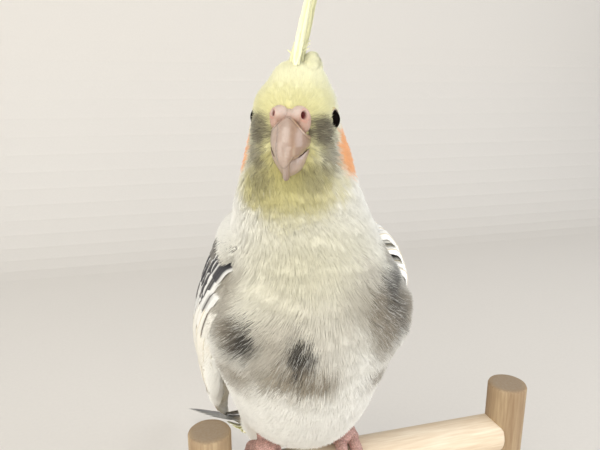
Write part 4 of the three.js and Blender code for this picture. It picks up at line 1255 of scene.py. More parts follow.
def tuft_points(shape, line, outs, half, barb_half, rng):
    """Each corner: the bent line at s, plus across * x, minus the crown, plus the blade.
    Returns the corners and their shading directions."""
    x, s, side, lift = shape.T
    root, middle, tip = (p[:, None] for p in line)
    w0, w1, w2 = tuft_weights(s)
    centre = root * w0 + middle * w1 + tip * w2
    out = unit(outs[0][:, None] * (1 - s)[:, None] + outs[2][:, None] * s[:, None])
    across = unit(np.cross(out, unit(tip - root)))
    stray = rng.normal(0, 0.1, (len(root), len(s) // BLADE_POINTS)).repeat(BLADE_POINTS, axis=1)
    sideways = half[:, None] * (x + stray * s) + side * barb_half * (1 - 0.5 * s)
    raised = (lift * BLADE_HIGH - TUFT_CROWN * half[:, None] * x ** 2
              + np.abs(stray) * s * 0.7)
    points = centre + across * sideways[..., None] + out * raised[..., None]
    facing = unit(out + across * (0.3 * side + 0.25 * x)[:, None])
    return points, facing


def paint_barbs(colour, along, barbs, pale, mix, rng):
    """Each barb is near the feather's own colour. Where that is dark, one barb in eight is
    mixed with a pale colour and one in eight is darker."""
    count = len(colour)
    shade = rng.normal(1, 0.015, (count, barbs)) * rng.normal(1, 0.01, (count, 1))
    odd = rng.uniform(0, 1, (count, barbs))
    dark = 1 - fade(colour.mean(1), 0.2, 0.5)[:, None]
    shade = shade * np.where(odd > 0.88, 0.95 - 0.4 * dark, 1.0)
    lighten = (np.where(odd < 0.12, mix, 0.0) * dark)[..., None]
    own = colour[:, None] * shade[..., None]
    own = (own + lighten * (pale - own)).repeat(BLADE_POINTS, axis=1)
    return (own * along[None, :, None]).reshape(-1, 3)


def coat_piece(name, slot, line, outs, halves, barbs, barb_half, root_uv, colour, seed):
    """Tufts of a few kinds as one mesh, with colours, shading directions and bake patches."""
    rng = np.random.default_rng(seed)
    kind = rng.integers(0, TUFT_KINDS, len(halves))
    parts, paints, maps, facings = [], [], [], []
    for k in range(TUFT_KINDS):
        mine = kind == k
        shape, faces = tuft_shape(barbs, seed + k)
        points, facing = tuft_points(shape, [p[mine] for p in line], [o[mine] for o in outs],
                                     halves[mine], barb_half, rng)
        count, corners = points.shape[:2]
        along = 0.9 + 0.1 * fade(shape[:, 1], 0.1, 0.6)
        paints.append(paint_barbs(colour[mine], along, barbs, *STREAKS[slot], rng))
        local = np.stack([shape[:, 0] * 0.5, shape[:, 1] - 0.5], -1) * PATCH
        maps.append((root_uv[mine][:, None] + local[None]).reshape(-1, 2))
        facings.append(facing.reshape(-1, 3))
        steps = (np.arange(count) * corners)[:, None, None]
        parts.append((points.reshape(-1, 3), (faces[None] + steps).reshape(-1, 3)))
    points, faces = join(parts)
    return piece(name, points, faces, soft_feathers,
                 {"plumage": np.concatenate(paints), "OFBake": np.concatenate(maps),
                  "facing": np.concatenate(facings)})


# %% [markdown]
# The regions differ as on the real bird: dense 3 mm feathers on the face, 9 mm ones on the
# breast and long loose ones on the belly and flanks.

# %% Grow the coat
HEAD_LAST = 66
# Region: first and last ring, spacing, length, half width, barbs, barb half width, wander
REGIONS = {
    "coat_crown": (0, 34, 0.78, (2.8, 3.8), 1.1, 5, 0.15, 0.2),
    "coat_brow": (34, 50, 0.78, (2.8, 3.8), 1.1, 5, 0.15, 0.2),
    "coat_face": (50, 66, 0.8, (3.2, 4.6), 1.15, 5, 0.15, 0.2),
    "coat_neck": (66, 92, 1.14, (5.0, 7.0), 1.9, 8, 0.16, 0.12),
    "coat_breast": (92, 108, 1.2, (7.0, 9.0), 2.4, 9, 0.165, 0.1),
    "coat_breast_low": (108, 124, 1.25, (7.5, 9.5), 2.5, 9, 0.165, 0.12),
    "coat_flanks": (124, 140, 1.3, (8.0, 11.0), 2.6, 9, 0.165, 0.16),
    "coat_flanks_low": (140, 157, 1.38, (8.0, 11.0), 2.6, 9, 0.165, 0.18),
    "coat_belly": (157, 186, 1.52, (8.0, 11.0), 2.6, 9, 0.17, 0.16),
    "coat_vent": (186, 212, 1.8, (7.0, 10.0), 2.6, 8, 0.22, 0.16),
}


def bent_line(ring, side, way, length, lift):
    """Root, middle and tip of each tuft, and the outward direction at each."""
    per_ring, per_side = steps_for(ring, side, way)
    at = [(ring + per_ring * length * k, side + per_side * length * k) for k in (0, 0.5, 1)]
    outs = [unit(sample(body_out, r, s)) for r, s in at]
    depth = np.interp(ring, ring_index, coat_depth)[:, None]
    root = sample(skin, *at[0])
    middle = sample(body, *at[1]) - outs[1] * depth * 0.3
    tip = sample(body, *at[2]) + outs[2] * lift[:, None]
    return (root, middle, tip), outs


def grow(name, first, last, spacing, lengths, half, barbs, barb_half, wander):
    """The coat of one region: roots, ways and lengths are drawn, then bent and painted."""
    rng = np.random.default_rng(first + 5)
    ring, side = scatter(first, last, spacing, rng)
    keep = ~is_bare(sample(body, ring, side))
    ring, side = ring[keep], side[keep]
    way = lie_of(ring, side, rng, wander)
    length = rng.uniform(*lengths, len(ring))
    line, outs = bent_line(ring, side, way, length, rng.uniform(0.0, 0.4, len(ring)))
    root_uv = np.stack([0.02 + 0.96 * (side % BODY_SIDES) / BODY_SIDES,
                        0.02 + 0.96 * (ring + 1) / (len(body) + 2)], -1)
    slot = "head_feathers" if first < HEAD_LAST else "breast_feathers"
    halves = half * rng.uniform(0.8, 1.15, len(ring))
    shift = way * (rng.normal(0, 0.16, len(ring)) * length)[:, None]
    return coat_piece(name, slot, line, outs, halves, barbs, barb_half, root_uv,
                      plumage_at(line[1] + shift), first)


coat = [grow(name, *region) for name, region in REGIONS.items()]
print("coat has", sum(len(c.data.polygons) for c in coat), "triangles")


# %% [markdown]
# Loose rump feathers stand all round the fleshy root of the tail and fall back over the first
# coverts, so that body and tail run into one another.

# %% Rump
RUMP_TUFTS = 560
# Half width and height of the root at distances along the tail
RUMP_AT, RUMP_WIDE, RUMP_HIGH = [0, 9, 20], [12.2, 11.4, 9.6], [8.8, 6.6, 4.8]


def rump_feathers():
    """Tufts round the root of the tail: across * wide * cos + up * high * sin, on an oval
    that shrinks as the root does."""
    rng = np.random.default_rng(35)
    count = RUMP_TUFTS
    turn = rng.uniform(0, 2 * np.pi, count)
    far = rng.uniform(-15, 3, count)
    line = []
    for step, rise in ((0, -1.0), (4.5, 0.7), (9, 1.0)):
        wide = np.interp(far + step, RUMP_AT, RUMP_WIDE) + rise
        high = np.interp(far + step, RUMP_AT, RUMP_HIGH) + rise
        line.append(tail_root + tail_along * (far + step)[:, None]
                    + tail_across * (wide * np.cos(turn))[:, None]
                    + tail_up * (high * np.sin(turn))[:, None])
    out = unit(tail_across * np.cos(turn)[:, None] + tail_up * np.sin(turn)[:, None])
    root_uv = np.stack([0.05 + 0.9 * turn / (2 * np.pi), 0.5 + 0.02 * far], -1)
    coat_piece("coat_rump", "breast_feathers", line, [out] * 3, 2.2 * rng.uniform(0.8, 1.2, count),
               8, 0.2, root_uv, plumage_at(line[1]), 700)


rump_feathers()


# %% [markdown]
# The front edge and the shoulder of each folded wing are tucked under loose feathers of the
# breast's side, which fall back over the wing, so that no hard seam shows.

# %% Side feathers over the wing edge
LOOSE_LEAN = np.array([0, -0.45, 0.35])
# Count, range of the roots in u and v, how much further down in front, lengths in u, how far
# v runs on and lift of the tip
OVER_WING = {
    "edge_right": (620, (0.08, 0.62), (-0.04, 0.04), 0, (0.045, 0.075), 0.06, (2.2, 3.2)),
    "edge_left": (360, (0.2, 0.62), (-0.04, 0.04), 0, (0.045, 0.075), 0.06, (2.2, 3.2)),
    "shoulder_right": (640, (0.0, 0.035), (0.0, 0.66), 0.045, (0.04, 0.055), 0.02, (4.0, 4.8)),
    "shoulder_left": (520, (0.0, 0.015), (0.0, 0.66), 0, (0.025, 0.035), 0.02, (2.4, 3.0)),
}


def side_feathers(side, name, part):
    """Tufts on the wing's sheet: each runs on by its length in u and a little in v, and rises
    from 1.5 mm inside. Its shading direction leans forward and up."""
    count, u_range, v_range, further, lengths, run, lifts = OVER_WING[f"{part}_{name}"]
    rng = np.random.default_rng(90 + side)
    v = rng.uniform(*v_range, count)
    u = rng.uniform(u_range[0], u_range[1] + further * np.clip(1 - v / 0.25, 0, 1))
    length = rng.uniform(*lengths, count)
    at = [(u + length * k, v + run * k + rng.normal(0, 0.008, count)) for k in (0, 0.5, 1)]
    outs = [wing_out(side, a, b) for a, b in at]
    rise = [-1.5, lifts[0] - 0.8, rng.uniform(*lifts, count)]
    line = [wing_at(side, a, b) + o * np.reshape(r, (-1, 1))
            for (a, b), o, r in zip(at, outs, rise)]
    outs = [unit(o + LOOSE_LEAN) for o in outs]
    root_uv = np.stack([0.1 + 0.8 * u, 0.1 + 0.8 * v], -1)
    colour = plumage_at(line[1]) * rng.uniform(0.95, 1.02, (count, 1))
    return coat_piece(f"coat_wing_{part}_{name}", "breast_feathers", line, outs,
                      2.0 * rng.uniform(0.7, 1.2, count), 7, 0.18, root_uv, colour, 300 + side)


for side, name in SIDE_NAMES.items():
    for part in ("edge", "shoulder"):
        side_feathers(side, name, part)


# %% [markdown]
# The crest is fourteen narrow feathers that stand up from the crown and bend back at the tip,
# with short ones at its foot. Their barbs don't hook together, so fine blades leave each shaft.

# %% Crest
CREST_LENGTH = 50.0
CREST_LEAN = 9.0
CREST_BEND = 26
CREST_ROOT_Z = 16.4
CREST_STEPS = 14
BARBS_PER_STEP = 15
BARB_WIDE = 0.12
# Soft feathers are lit through from above, so their shading direction leans to the sky
SKYWARD = np.array([-0.25, -0.5, 0.7])


def crest_line(x, y, rise, length, lean, back):
    """A path that leans back more by the square of its length, with the directions across
    and backwards at each point."""
    s = np.linspace(0, 1, CREST_STEPS)
    pitch = np.radians(back + CREST_BEND * s ** 2)
    way = np.stack([0 * s, np.sin(pitch), np.cos(pitch)], -1)
    c, sn = np.cos(np.radians(lean)), np.sin(np.radians(lean))
    way = np.stack([way[:, 2] * sn, way[:, 1], way[:, 2] * c], -1)
    steps = way * length / (CREST_STEPS - 1)
    steps[0] = 0
    line = np.array([x, y, CREST_ROOT_Z + rise - y * y / 60]) + np.cumsum(steps, axis=0)
    across = np.broadcast_to([c, 0, -sn], way.shape)
    return line, across, unit(np.cross(way, across))


def point_normals(points, faces):
    """At each point the sum of (b - a) x (c - a) of its faces, at unit length."""
    a, b, c = (points[faces[:, k]] for k in range(3))
    total = np.zeros(points.shape)
    np.add.at(total, faces, np.cross(b - a, c - a)[:, None])
    return unit(total)


def crest_barbs(line, out, half, rng):
    """Three-sided spikes all round the shaft, at a narrow angle to it. Their shading
    direction points out from the shaft and to the sky."""
    count = len(line) * BARBS_PER_STEP
    s = np.linspace(0.04, 0.98, count)
    turn = rng.uniform(0, 2 * np.pi, count)[:, None]
    at = (s * 199).astype(int)
    centre = resample(line, 200)[at]
    way = unit(resample(np.gradient(line, axis=0), 200)[at])
    up = unit(resample(out, 200)[at])
    sideways = np.cross(up, way) * np.cos(turn) + up * np.sin(turn)
    reach = half * (1.25 - 0.75 * s) * rng.uniform(0.6, 1.2, count)
    aim = unit(way * rng.uniform(1.9, 3.4, (count, 1)) + sideways)
    tip = centre + aim * (reach * 2.8)[:, None]
    across = np.cross(sideways, way) * BARB_WIDE
    corners = (centre - across, centre + across, centre + sideways * BARB_WIDE, tip)
    points = np.stack(corners, 1).reshape(-1, 3)
    facing = unit(sideways * 0.45 + SKYWARD).repeat(4, axis=0)
    base = (np.arange(count) * 4)[:, None]
    faces = np.concatenate([base + f for f in ([0, 1, 2], [0, 3, 1], [1, 3, 2], [2, 3, 0])])
    return points, face_out(points, faces), facing


# Short feathers at the foot of the crest and stray bristles: x, rise, length, lean, half width
CREST_SHORT = ((-2.1, -0.5, 7.0, 11, 0.6), (-1.7, -0.5, 9.2, 12, 0.6), (-1.3, -0.5, 11.5, 11, 0.6),
               (0.1, -0.5, 12.0, 9, 0.6), (1.5, -0.5, 5.5, 8, 0.6), (1.2, -0.5, 8.0, 7, 0.6),
               (1.5, 3.6, 3.2, 62, 0.15), (1.6, 4.4, 3.4, 56, 0.15), (1.7, 5.2, 3.2, 50, 0.15),
               (1.8, 6.2, 2.4, 44, 0.15), (-1.6, 3.2, 1.6, -50, 0.2))


def crest_plan(rng):
    """Root x, y and rise, length, lean to the side, lean back and half width of each."""
    plan = []
    for f in np.linspace(0, 1, 14):
        x = rng.uniform(-0.9, 0.9)
        plan.append((0.3 + x, -5.5 + 12.5 * f, 0, 14 + (CREST_LENGTH - 14) * f ** 0.7,
                     CREST_LEAN - 1.3 * x, -6 + 18 * f, 0.6))
    for x, rise, length, lean, half in CREST_SHORT:
        plan.append((x, rng.uniform(-4, 0), rise, length, lean, -4, half))
    return plan


def crest_pieces():
    """Plates and barbs of all crest feathers. Every third plate faces forward and the others
    sideways, so that the crest has a body from all sides."""
    rng = np.random.default_rng(19)
    feathers, barbs = [], []
    sky = head_way(SKYWARD)
    for number, (x, y, rise, length, lean, back, half) in enumerate(crest_plan(rng)):
        line, across, out = crest_line(x, y, rise, length, lean, back)
        face = out if number % 3 == 0 else across + out * rng.uniform(-0.45, 0.45)
        line, out, face = head_to_bird(line), head_way(out), head_way(face)
        tint = CREST_YELLOW * rng.uniform(0.97, 1.0)
        pattern = two_tone(tint, CREST_YELLOW, 0.4, 1.0, CREST_YELLOW)
        width = 0.9 if length < 12 else 1.9 if number % 3 == 0 else 2.7
        plate = long_feather(line, face, half * width, pattern, rng, number, full_at=0.45,
                             point=1.3, crown=0.1, splits=4, shaft=0.1)
        plate[2]["facing"] = unit(point_normals(plate[0], plate[1]) * 0.7 + sky)
        feathers.append(plate)
        barbs.append(crest_barbs(line, out, half, rng))
    return feathers, barbs


feathers, barbs = crest_pieces()
crest_piece = joined_feathers("crest_feathers", feathers, firm_feathers)
points, faces = join([(p, f) for p, f, _ in barbs])
barb_uv = np.random.default_rng(2).uniform(0.1, 0.9, (len(points) // 4, 2)).repeat(4, 0)
piece("crest_barbs", points, faces, soft_feathers,
      {"plumage": np.broadcast_to(PALE_YELLOW, points.shape), "OFBake": barb_uv,
       "facing": np.concatenate([n for _, _, n in barbs])})
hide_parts("crest")


# %% [markdown]
# Beside the crest the crown feathers stand up as a soft round mound. An oval dome gives it a
# closed skin, and tufts lie over it with a few stray tips.

# %% Mound beside the crest
MOUND_CENTRE = np.array([4.4, 3.2, 13.6])
MOUND_SIZE = np.array([3.4, 7.6, 6.8])
MOUND_TUFTS = 450


def mound_skin():
    """The dome under the tufts: centre + ball * size, sunk into the crown."""
    points, faces = closed_tube(MOUND_CENTRE + ball_grid(24, 32) * MOUND_SIZE)
    facing = head_way(unit(unit(points - MOUND_CENTRE) * 0.5 + SKYWARD))
    piece("mound_skin", head_to_bird(points), faces, soft_feathers,
          {"plumage": np.tile(CREST_YELLOW, (len(points), 1)), "facing": facing,
           "OFBake": 0.5 + 0.05 * (points - MOUND_CENTRE)[:, :2]})


def mound_feathers():
    """Tufts that lie over the dome, with a few longer stray ones on its outer side."""
    rng = np.random.default_rng(23)
    count = MOUND_TUFTS
    lean = np.arccos(rng.uniform(-0.1, 1, count))
    turn = rng.uniform(0, 2 * np.pi, count)
    way = np.stack([np.sin(lean) * np.cos(turn), np.sin(lean) * np.sin(turn), np.cos(lean)], -1)
    drift = np.array([0.5, 0.5, -0.7]) + rng.normal(0, 0.2, (count, 3))
    stray = (way[:, 0] > 0.6) & (rng.uniform(0, 1, count) > 0.85)
    over = 1.05 + 0.3 * stray
    line = []
    for step, rise in ((0, 0.93), (0.2, 1.02), (0.42, over[:, None])):
        line.append(head_to_bird(MOUND_CENTRE + unit(way + drift * step) * MOUND_SIZE * rise))
    outs = [head_way(unit(way * 0.5 + SKYWARD))] * 3
    uv = np.stack([0.5 + way[:, 0] * 0.3, 0.5 + way[:, 1] * 0.3], -1)
    tint = np.broadcast_to(CREST_YELLOW, (count, 3)) * rng.uniform(0.98, 1.0, (count, 1))
    return coat_piece("coat_mound", "head_feathers", line, outs,
                      1.3 * rng.uniform(0.7, 1.2, count), 5, 0.18, uv, tint, 500)


mound_skin()
mound_feathers()


# %% [markdown]
# The eye is a wet ball so dark a brown that it reads black. The lids are a thin ring of bare,
# wrinkled skin that the ball fills.

# %% Eyes and lids
EYE_R = 3.5


def eye_material():
    """A wet iris that looks black. Its low IOR keeps the soft lights from greying it."""
    settings = {"Roughness": 0.06, "Specular IOR Level": 0.05, "IOR": 1.2}
    material, tree, shader, place = new_material("dark_wet_eye", settings)
    finish_shader(tree, shader, mottled(tree, place, 900.0, 4.0, "080504", "0d0806")[0])
    return material


def skin_material(name, light, dark, scale, roughness, grit=0.0):
    """Bare skin: blotches of two tints, fine wrinkles as bump, and some light inside. grit
    is how much the grain between wrinkles also lightens and darkens it."""
    settings = {"Roughness": roughness, "Subsurface Weight": 0.15,
                "Subsurface Radius": (0.0015, 0.0006, 0.0004), "Subsurface Scale": 0.6,
                "Specular IOR Level": 0.4}
    material, tree, shader, place = new_material(name, settings)
    blotches, _ = mottled(tree, place, scale, 5.0, light, dark)
    wrinkle = add_node(tree, "ShaderNodeTexVoronoi", {"Scale": scale * 3.2},
                       {"Vector": place}).outputs[0]
    colour = brightened(tree, tinted(tree, blotches), wrinkle, grit)
    finish_shader(tree, shader, colour, wrinkle, 0.4, 0.0002)
    return material


# The lid cut through: distance from the eye's axis, and height along it from the centre
LID_CUT = np.array([[2.95, 1.75], [3.0, 2.0], [3.14, 2.1], [3.32, 1.95], [3.7, 1.5], [4.3, 0.7],
                    [4.5, -0.3], [3.7, -0.5], [3.2, 0.9]])
LID_SIDES, LID_ROWS = 72, 27


def lid_grid(side):
    """The cut carried round the eye as a slightly tall ring, a rim on the ball and a skirt
    down into the feathers. Returns the ring and how far out each point is."""
    loop = np.vstack([LID_CUT[-1:], LID_CUT, LID_CUT[:2]])
    far, height = smooth_rows(loop, 1 + np.arange(LID_ROWS) / LID_ROWS * len(LID_CUT)).T[:, None]
    q = (np.arange(LID_SIDES) / LID_SIDES * 2 * np.pi)[:, None]
    height = height + 0.05 * np.sin(q * 19) * fade(far, 2.9, 3.3)
    across, up = far * np.cos(q) * 0.97, far * np.sin(q) * 1.05
    c, s = np.cos(side * EYE_FACING), np.sin(side * EYE_FACING)
    ring = np.stack([across * c + height * s, across * s - height * c, up], -1)
    return ring + eye_centre(side), far + 0 * across


dark_eye = eye_material()
lid_skin = skin_material("bare_lid_skin", "e6dfd4", "cfc5b8", 900.0, 0.6)
RIM_TINT = np.array([0.42, 0.38, 0.34])
for side, name in SIDE_NAMES.items():
    points, faces = closed_tube(eye_centre(side) + EYE_R * ball_grid(40, 56))
    eye = piece(f"eyeball_{name}", head_to_bird(points), faces, dark_eye)
    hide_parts(f"eye_{name}")
    rings, far = lid_grid(side)
    points = head_to_bird(rings.reshape(-1, 3))
    last = (LID_SIDES - 1) * LID_ROWS
    seam = grid_faces(2, LID_ROWS) % LID_ROWS + np.array([last, last, 0, 0])
    faces = np.concatenate([grid_faces(LID_SIDES, LID_ROWS), seam])
    outer = fade(far.reshape(-1, 1), 3.2, 3.5)
    tint = RIM_TINT * (1 - outer) + plumage_at(points) * outer
    piece(f"lids_{name}", points, face_out(points, faces), lid_skin,
          {"plumage": tint})


# %% [markdown]
# The bill is horn that grows in layers: smooth and glossy along its ridge, flaky at the sides,
# pink where the living part shows through. The upper half hooks over the lower one, with a
# notch in its cutting edge. Both are stacks of level sections, from the face to the tip.

# %% Bill
# Columns: height, front, widest line behind it, half width at the bird's left and right side,
# drop of the front
UPPER_BILL_ROWS = np.array([
    [3.0, -12.5, -9.0, 3.2, 3.2, 0],
    [0.6, -15.9, -10.2, 3.9, 3.9, 0],
    [-1.2, -17.9, -10.6, 4.7, 4.7, 0],
    [-3.2, -19.3, -10.8, 5.5, 5.5, 0],
    [-5.4, -20.3, -11.0, 5.95, 5.85, 0],
    [-7.2, -20.8, -11.6, 5.9, 5.7, 0],
    [-8.8, -20.95, -12.9, 4.75, 5.0, 0],
    [-10.0, -20.95, -14.4, 3.9, 4.3, 0],
    [-10.8, -20.9, -15.6, 3.1, 3.75, 0],
    [-11.7, -20.8, -16.4, 1.5, 3.1, 0],
    [-12.9, -20.5, -17.0, 1.1, 2.2, 0],
    [-14.0, -20.2, -17.3, 1.0, 1.3, 0],
    [-15.4, -19.6, -17.4, 1.0, 1.15, 0],
    [-16.7, -19.1, -17.2, 1.0, 1.15, 0],
    [-17.5, -18.6, -17.4, 0.6, 0.7, 0],
])
LOWER_BILL_ROWS = np.array([
    [-16.9, -14.6, -12.0, 1.0, 1.0, 0],
    [-16.3, -15.8, -11.0, 2.4, 2.2, 0],
    [-15.0, -16.7, -10.4, 3.9, 3.3, 0],
    [-13.2, -17.1, -10.0, 4.9, 4.5, 0.2],
    [-11.4, -17.0, -9.8, 5.5, 5.4, 0.8],
    [-9.8, -16.6, -9.5, 5.95, 5.9, 1.6],
    [-8.0, -16.0, -9.3, 6.15, 6.1, 2.9],
    [-7.7, -15.6, -9.2, 5.8, 5.75, 3.1],
    [-8.4, -14.8, -9.2, 5.0, 5.0, 2.8],
])
# Borders of the smooth outer layer on the bird's right and left side, as height and x
LAYER_RIGHT_EDGE = np.array([[-13.7, -0.4], [-12.7, -1.9], [-10, -2.5], [-8, -2.7], [-5, -2.5],
                             [-2.5, -2.6], [-1.4, -3.0], [1, -1.2]])
LAYER_LEFT_EDGE = np.array([[-13.7, -0.4], [-11.8, 1.05], [-10.2, 2.0], [-9.9, 2.9],
                            [-9.6, 9], [1, 9]])
LAYER = 0.32
BILL_ROWS, BILL_SIDES = 112, 110


def horn_material():
    """Pinkish horn: long streaks, grown layers, a satin gloss and a little light inside."""
    settings = {"Roughness": 0.34, "Subsurface Weight": 0.05,
                "Subsurface Radius": (0.002, 0.0009, 0.0006), "Subsurface Scale": 0.6,
                "Coat Weight": 0.5, "Coat Roughness": 0.16}
    material, tree, shader, place = new_material("pink_layered_horn", settings)
    stretch = add_node(tree, "ShaderNodeMapping", {"Scale": (1.0, 1.0, 0.22)}, {"Vector": place})
    colour, streak = mottled(tree, stretch.outputs[0], 900.0, 6.0, "947f72", "b49f91")
    finish_shader(tree, shader, tinted(tree, colour), streak, 0.35, 0.00025)
    return material


def layer_gap(x, height):
    """How far inside the outer layer a point lies, from the nearer of its two borders."""
    right = np.interp(height, *LAYER_RIGHT_EDGE.T) + 0.06 * np.sin(height * 5)
    left = np.interp(height, *LAYER_LEFT_EDGE.T) + 0.06 * np.sin(height * 4 + 1)
    return np.minimum(x - right, left - x)


def over_arch(x, height):
    """How far a point lies above the arched line where horn meets the cere."""
    return height - 0.85 + 1.2 * (np.hypot(x + 0.4, 1.4) - 1.4)


def bill_grid(rows, count, sides, full, layer):
    """Level sections with a rounded front and a nearly flat back: x = half * cos', y = widest
    + reach * sin'. An outer layer thickens the ridge, and the root swells to a rim and dips
    under the cere."""
    t = (len(rows) - 1) * np.linspace(0, 1, count)
    height, front, widest, half_left, half_right, drop = smooth_rows(rows, t).T[..., None]
    wide, deep = full_round(sides, full)
    reach = np.where(deep < 0, widest - front, 0.7)
    x, y = np.where(wide > 0, half_left, half_right) * wide, reach * deep
    grown = 0.012 * np.sin(height * 6.0 + 3 * wide)
    if layer:
        over = over_arch(x, height)
        grown = grown + layer * fade(layer_gap(x, height), 0, 0.14)
        grown = grown + 0.25 * bell(over, 0.3, 0.3) - 1.3 * fade(over, 0.5, 1.0)
    size = np.maximum(np.hypot(x, y), 1e-6)
    x, y = x * (1 + grown / size), y * (1 + grown / size)
    return np.stack(np.broadcast_arrays(x, widest + y, height + drop * np.minimum(deep, 0)), -1)


def tint_of(points, *washes):
    """White, and for each wash multiplied by 1 + share * (factors - 1), so by its factors
    where its share is 1 and by 1 where it is 0."""
    tint = np.ones((len(points), 3))
    for share, factors in washes:
        tint = tint * (1 + share[:, None] * (np.array(factors) - 1))
    return tint


def bell(value, middle, width):
    """exp(-((value - middle) / width) ^ 2)."""
    return np.exp(-((value - middle) / width) ** 2)


def upper_tint(points):
    """Pale grey where the outer layer has flaked off, redder towards the left and darker there
    as painted shade. A painted highlight runs down the ridge. Each layer border has a pale rim
    with a painted shadow just outside it, the arch under the cere has a dark line and a pale
    rim, and the tip is greyer."""
    x, _, z = points.T
    gap, over = layer_gap(x, z), over_arch(x, z)
    above_tip = fade(z, -14.0, -13.4)
    return tint_of(
        points,
        (fade(-gap, 0, 0.25) * (x < 0), (1.0, 1.13, 1.25)),
        # towards the bird's left: redder, and darker as painted shade on the side away from the
        # window light
        (fade(x, -0.4, 2.0), (0.78, 0.68, 0.58)),
        # a painted highlight down the ridge, a little to the bird's right of its middle
        (bell(x, -1.2, 0.75), (1.3, 1.32, 1.32)),
        (above_tip * bell(gap, 0.02, 0.16), (1.5, 1.5, 1.5)),
        # a painted shadow just outside each border of the raised outer layer
        (above_tip * bell(gap, -0.34, 0.16), (0.6, 0.55, 0.53)),
        (bell(x, 2.3, 0.35) * bell(z, -8.5, 1.6), (1.5, 1.6, 1.6)),
        (bell(over, -0.05, 0.14), (0.42, 0.33, 0.3)),
        (fade(over, 0.05, 0.18) * fade(-over, -0.7, -0.6), (1.5, 1.4, 1.3)),
        (fade(-z, 12.5, 17.5), (0.75, 0.72, 0.74)))


def lower_tint(points):
    """Paler than the upper half, with a pale lip that is partly the horn's own paler edge and
    partly a painted highlight. Behind the upper half's cutting edge it is darkened as painted
    shadow in the gape, and the last rows, the mouth's floor, are dark. What is hidden from
    the head's left shifts by an eighth of its depth."""
    x, y, z = points.T
    row = np.arange(len(points)) // BILL_SIDES
    seen = z + 0.1 * (y + 15)
    rows = UPPER_BILL_ROWS[::-1]
    widest, left, right = (np.interp(seen, rows[:, 0], rows[:, k]) for k in (2, 3, 4))
    beside = np.where(x > 0, x - left, -x - right) + 0.127 * (y - widest) * np.sign(x)
    upper_part = fade(z, -11.4, -10.8)
    pale_lip_and_highlight = fade(beside, 0.55, 0.75) * fade(-beside, -1.6, -1.2)
    return tint_of(
        points,
        (fade(-z, 7, 9), (1.38, 1.3, 1.12)),
        # the pale lip: partly paler horn, partly a painted highlight along the edge
        (pale_lip_and_highlight * upper_part, (1.25, 1.25, 1.22)),
        # painted shadow where the mandible lies behind the upper half's cutting edge
        (fade(-beside, -0.72, -0.52) * upper_part, (0.08, 0.04, 0.04)),
        (fade(row, BILL_ROWS - 9, BILL_ROWS - 5), (0.18, 0.12, 0.1)))


horn = horn_material()
for name, rows, full, layer in (("upper", UPPER_BILL_ROWS, 2.15, LAYER),
                                ("lower", LOWER_BILL_ROWS, 2.1, 0.0)):
    points, faces = closed_tube(bill_grid(rows, BILL_ROWS, BILL_SIDES, full, layer))
    tint = upper_tint(points) if name == "upper" else lower_tint(points)
    bill = piece(f"bill_{name}", head_to_bird(points), faces, horn, {"plumage": tint})
    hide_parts(f"beak_{name}")


# %% [markdown]
# The cere is soft bare skin over the root of the bill: two round bulbs, each with a nostril,
# joined across the middle. It is one closed surface round a middle point. Its distance in each
# direction is close to the largest of five ellipsoids', and each nostril is a pit in it.

# %% Cere
CERE_MIDDLE = np.array([0.0, -12.9, 1.1])
CERE_BALLS = (((3.0, -13.9, 1.6), (2.9, 3.1, 2.8)), ((4.5, -13.6, -0.6), (2.1, 2.9, 3.2)),
              ((-3.0, -13.9, 1.7), (2.75, 3.0, 2.65)), ((-4.2, -13.4, -0.2), (1.9, 2.7, 3.0)),
              ((-0.1, -12.8, 1.4), (3.4, 2.7, 1.9)))
# Nostril: place and half sizes of the pit
NOSTRILS = (((4.75, -16.3, 1.7), (0.85, 2.2, 1.2)), ((-4.95, -16.3, 2.0), (0.66, 2.2, 0.95)))


def ellipsoid_reach(way, centre, radii):
    """Distance along each way from the middle to the far side of an ellipsoid, or 0."""
    start = (CERE_MIDDLE - np.array(centre)) / np.array(radii)
    aim = way / np.array(radii)
    a, b, c = (aim ** 2).sum(-1), (aim * start).sum(-1), (start ** 2).sum() - 1
    root = b * b - a * c
    return np.where(root > 0, (-b + np.sqrt(np.maximum(root, 0))) / a, 0).clip(0.01)


def cere_grid():
    """Rows from one pole to the other along X, with the pits deepened at the end."""
    way = ball_grid(96, 130)[..., [2, 0, 1]]
    reach = sum(ellipsoid_reach(way, *ball) ** 12 for ball in CERE_BALLS) ** (1 / 12) * 0.97
    points = CERE_MIDDLE + way * reach[..., None]
    pit = np.zeros(reach.shape)
    rim = np.zeros(reach.shape)
    for place, size in NOSTRILS:
        gap = np.linalg.norm((points - np.array(place)) / np.array(size), axis=-1)
        pit = np.maximum(pit, np.exp(-gap ** 4))
        rim = np.maximum(rim, bell(gap, 1.5, 0.35))
    return points - way * (1.8 * pit - 0.14 * rim)[..., None], pit, rim


def with_poles(values):
    """A value for every point of a closed tube, whose two ends repeat their ring."""
    return np.concatenate([values[0], values.ravel(), values[-1]])


rings, pit, rim = cere_grid()
points, faces = closed_tube(rings)
cere_skin = skin_material("soft_cere_skin", "c7b4aa", "b39e92", 700.0, 0.5)
# The nostril pits are a near-black red: their red skin with painted shade for the hollow.
tint = tint_of(points, (fade(-points[:, 2], -2.4, -0.2), (0.86, 0.72, 0.66)),
               (with_poles(rim), (1.0, 0.84, 0.82)),
               (fade(with_poles(pit), 0.12, 0.5), (0.2, 0.004, 0.004)))
cere = piece("cere_skin", head_to_bird(points), faces, cere_skin, {"plumage": tint})
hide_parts("cere")


# %% [markdown]
# A parrot's foot has two toes forward and two back. Each toe is a scaly tube that wraps round
# the dowel, and its radius rises at every fold and pad.

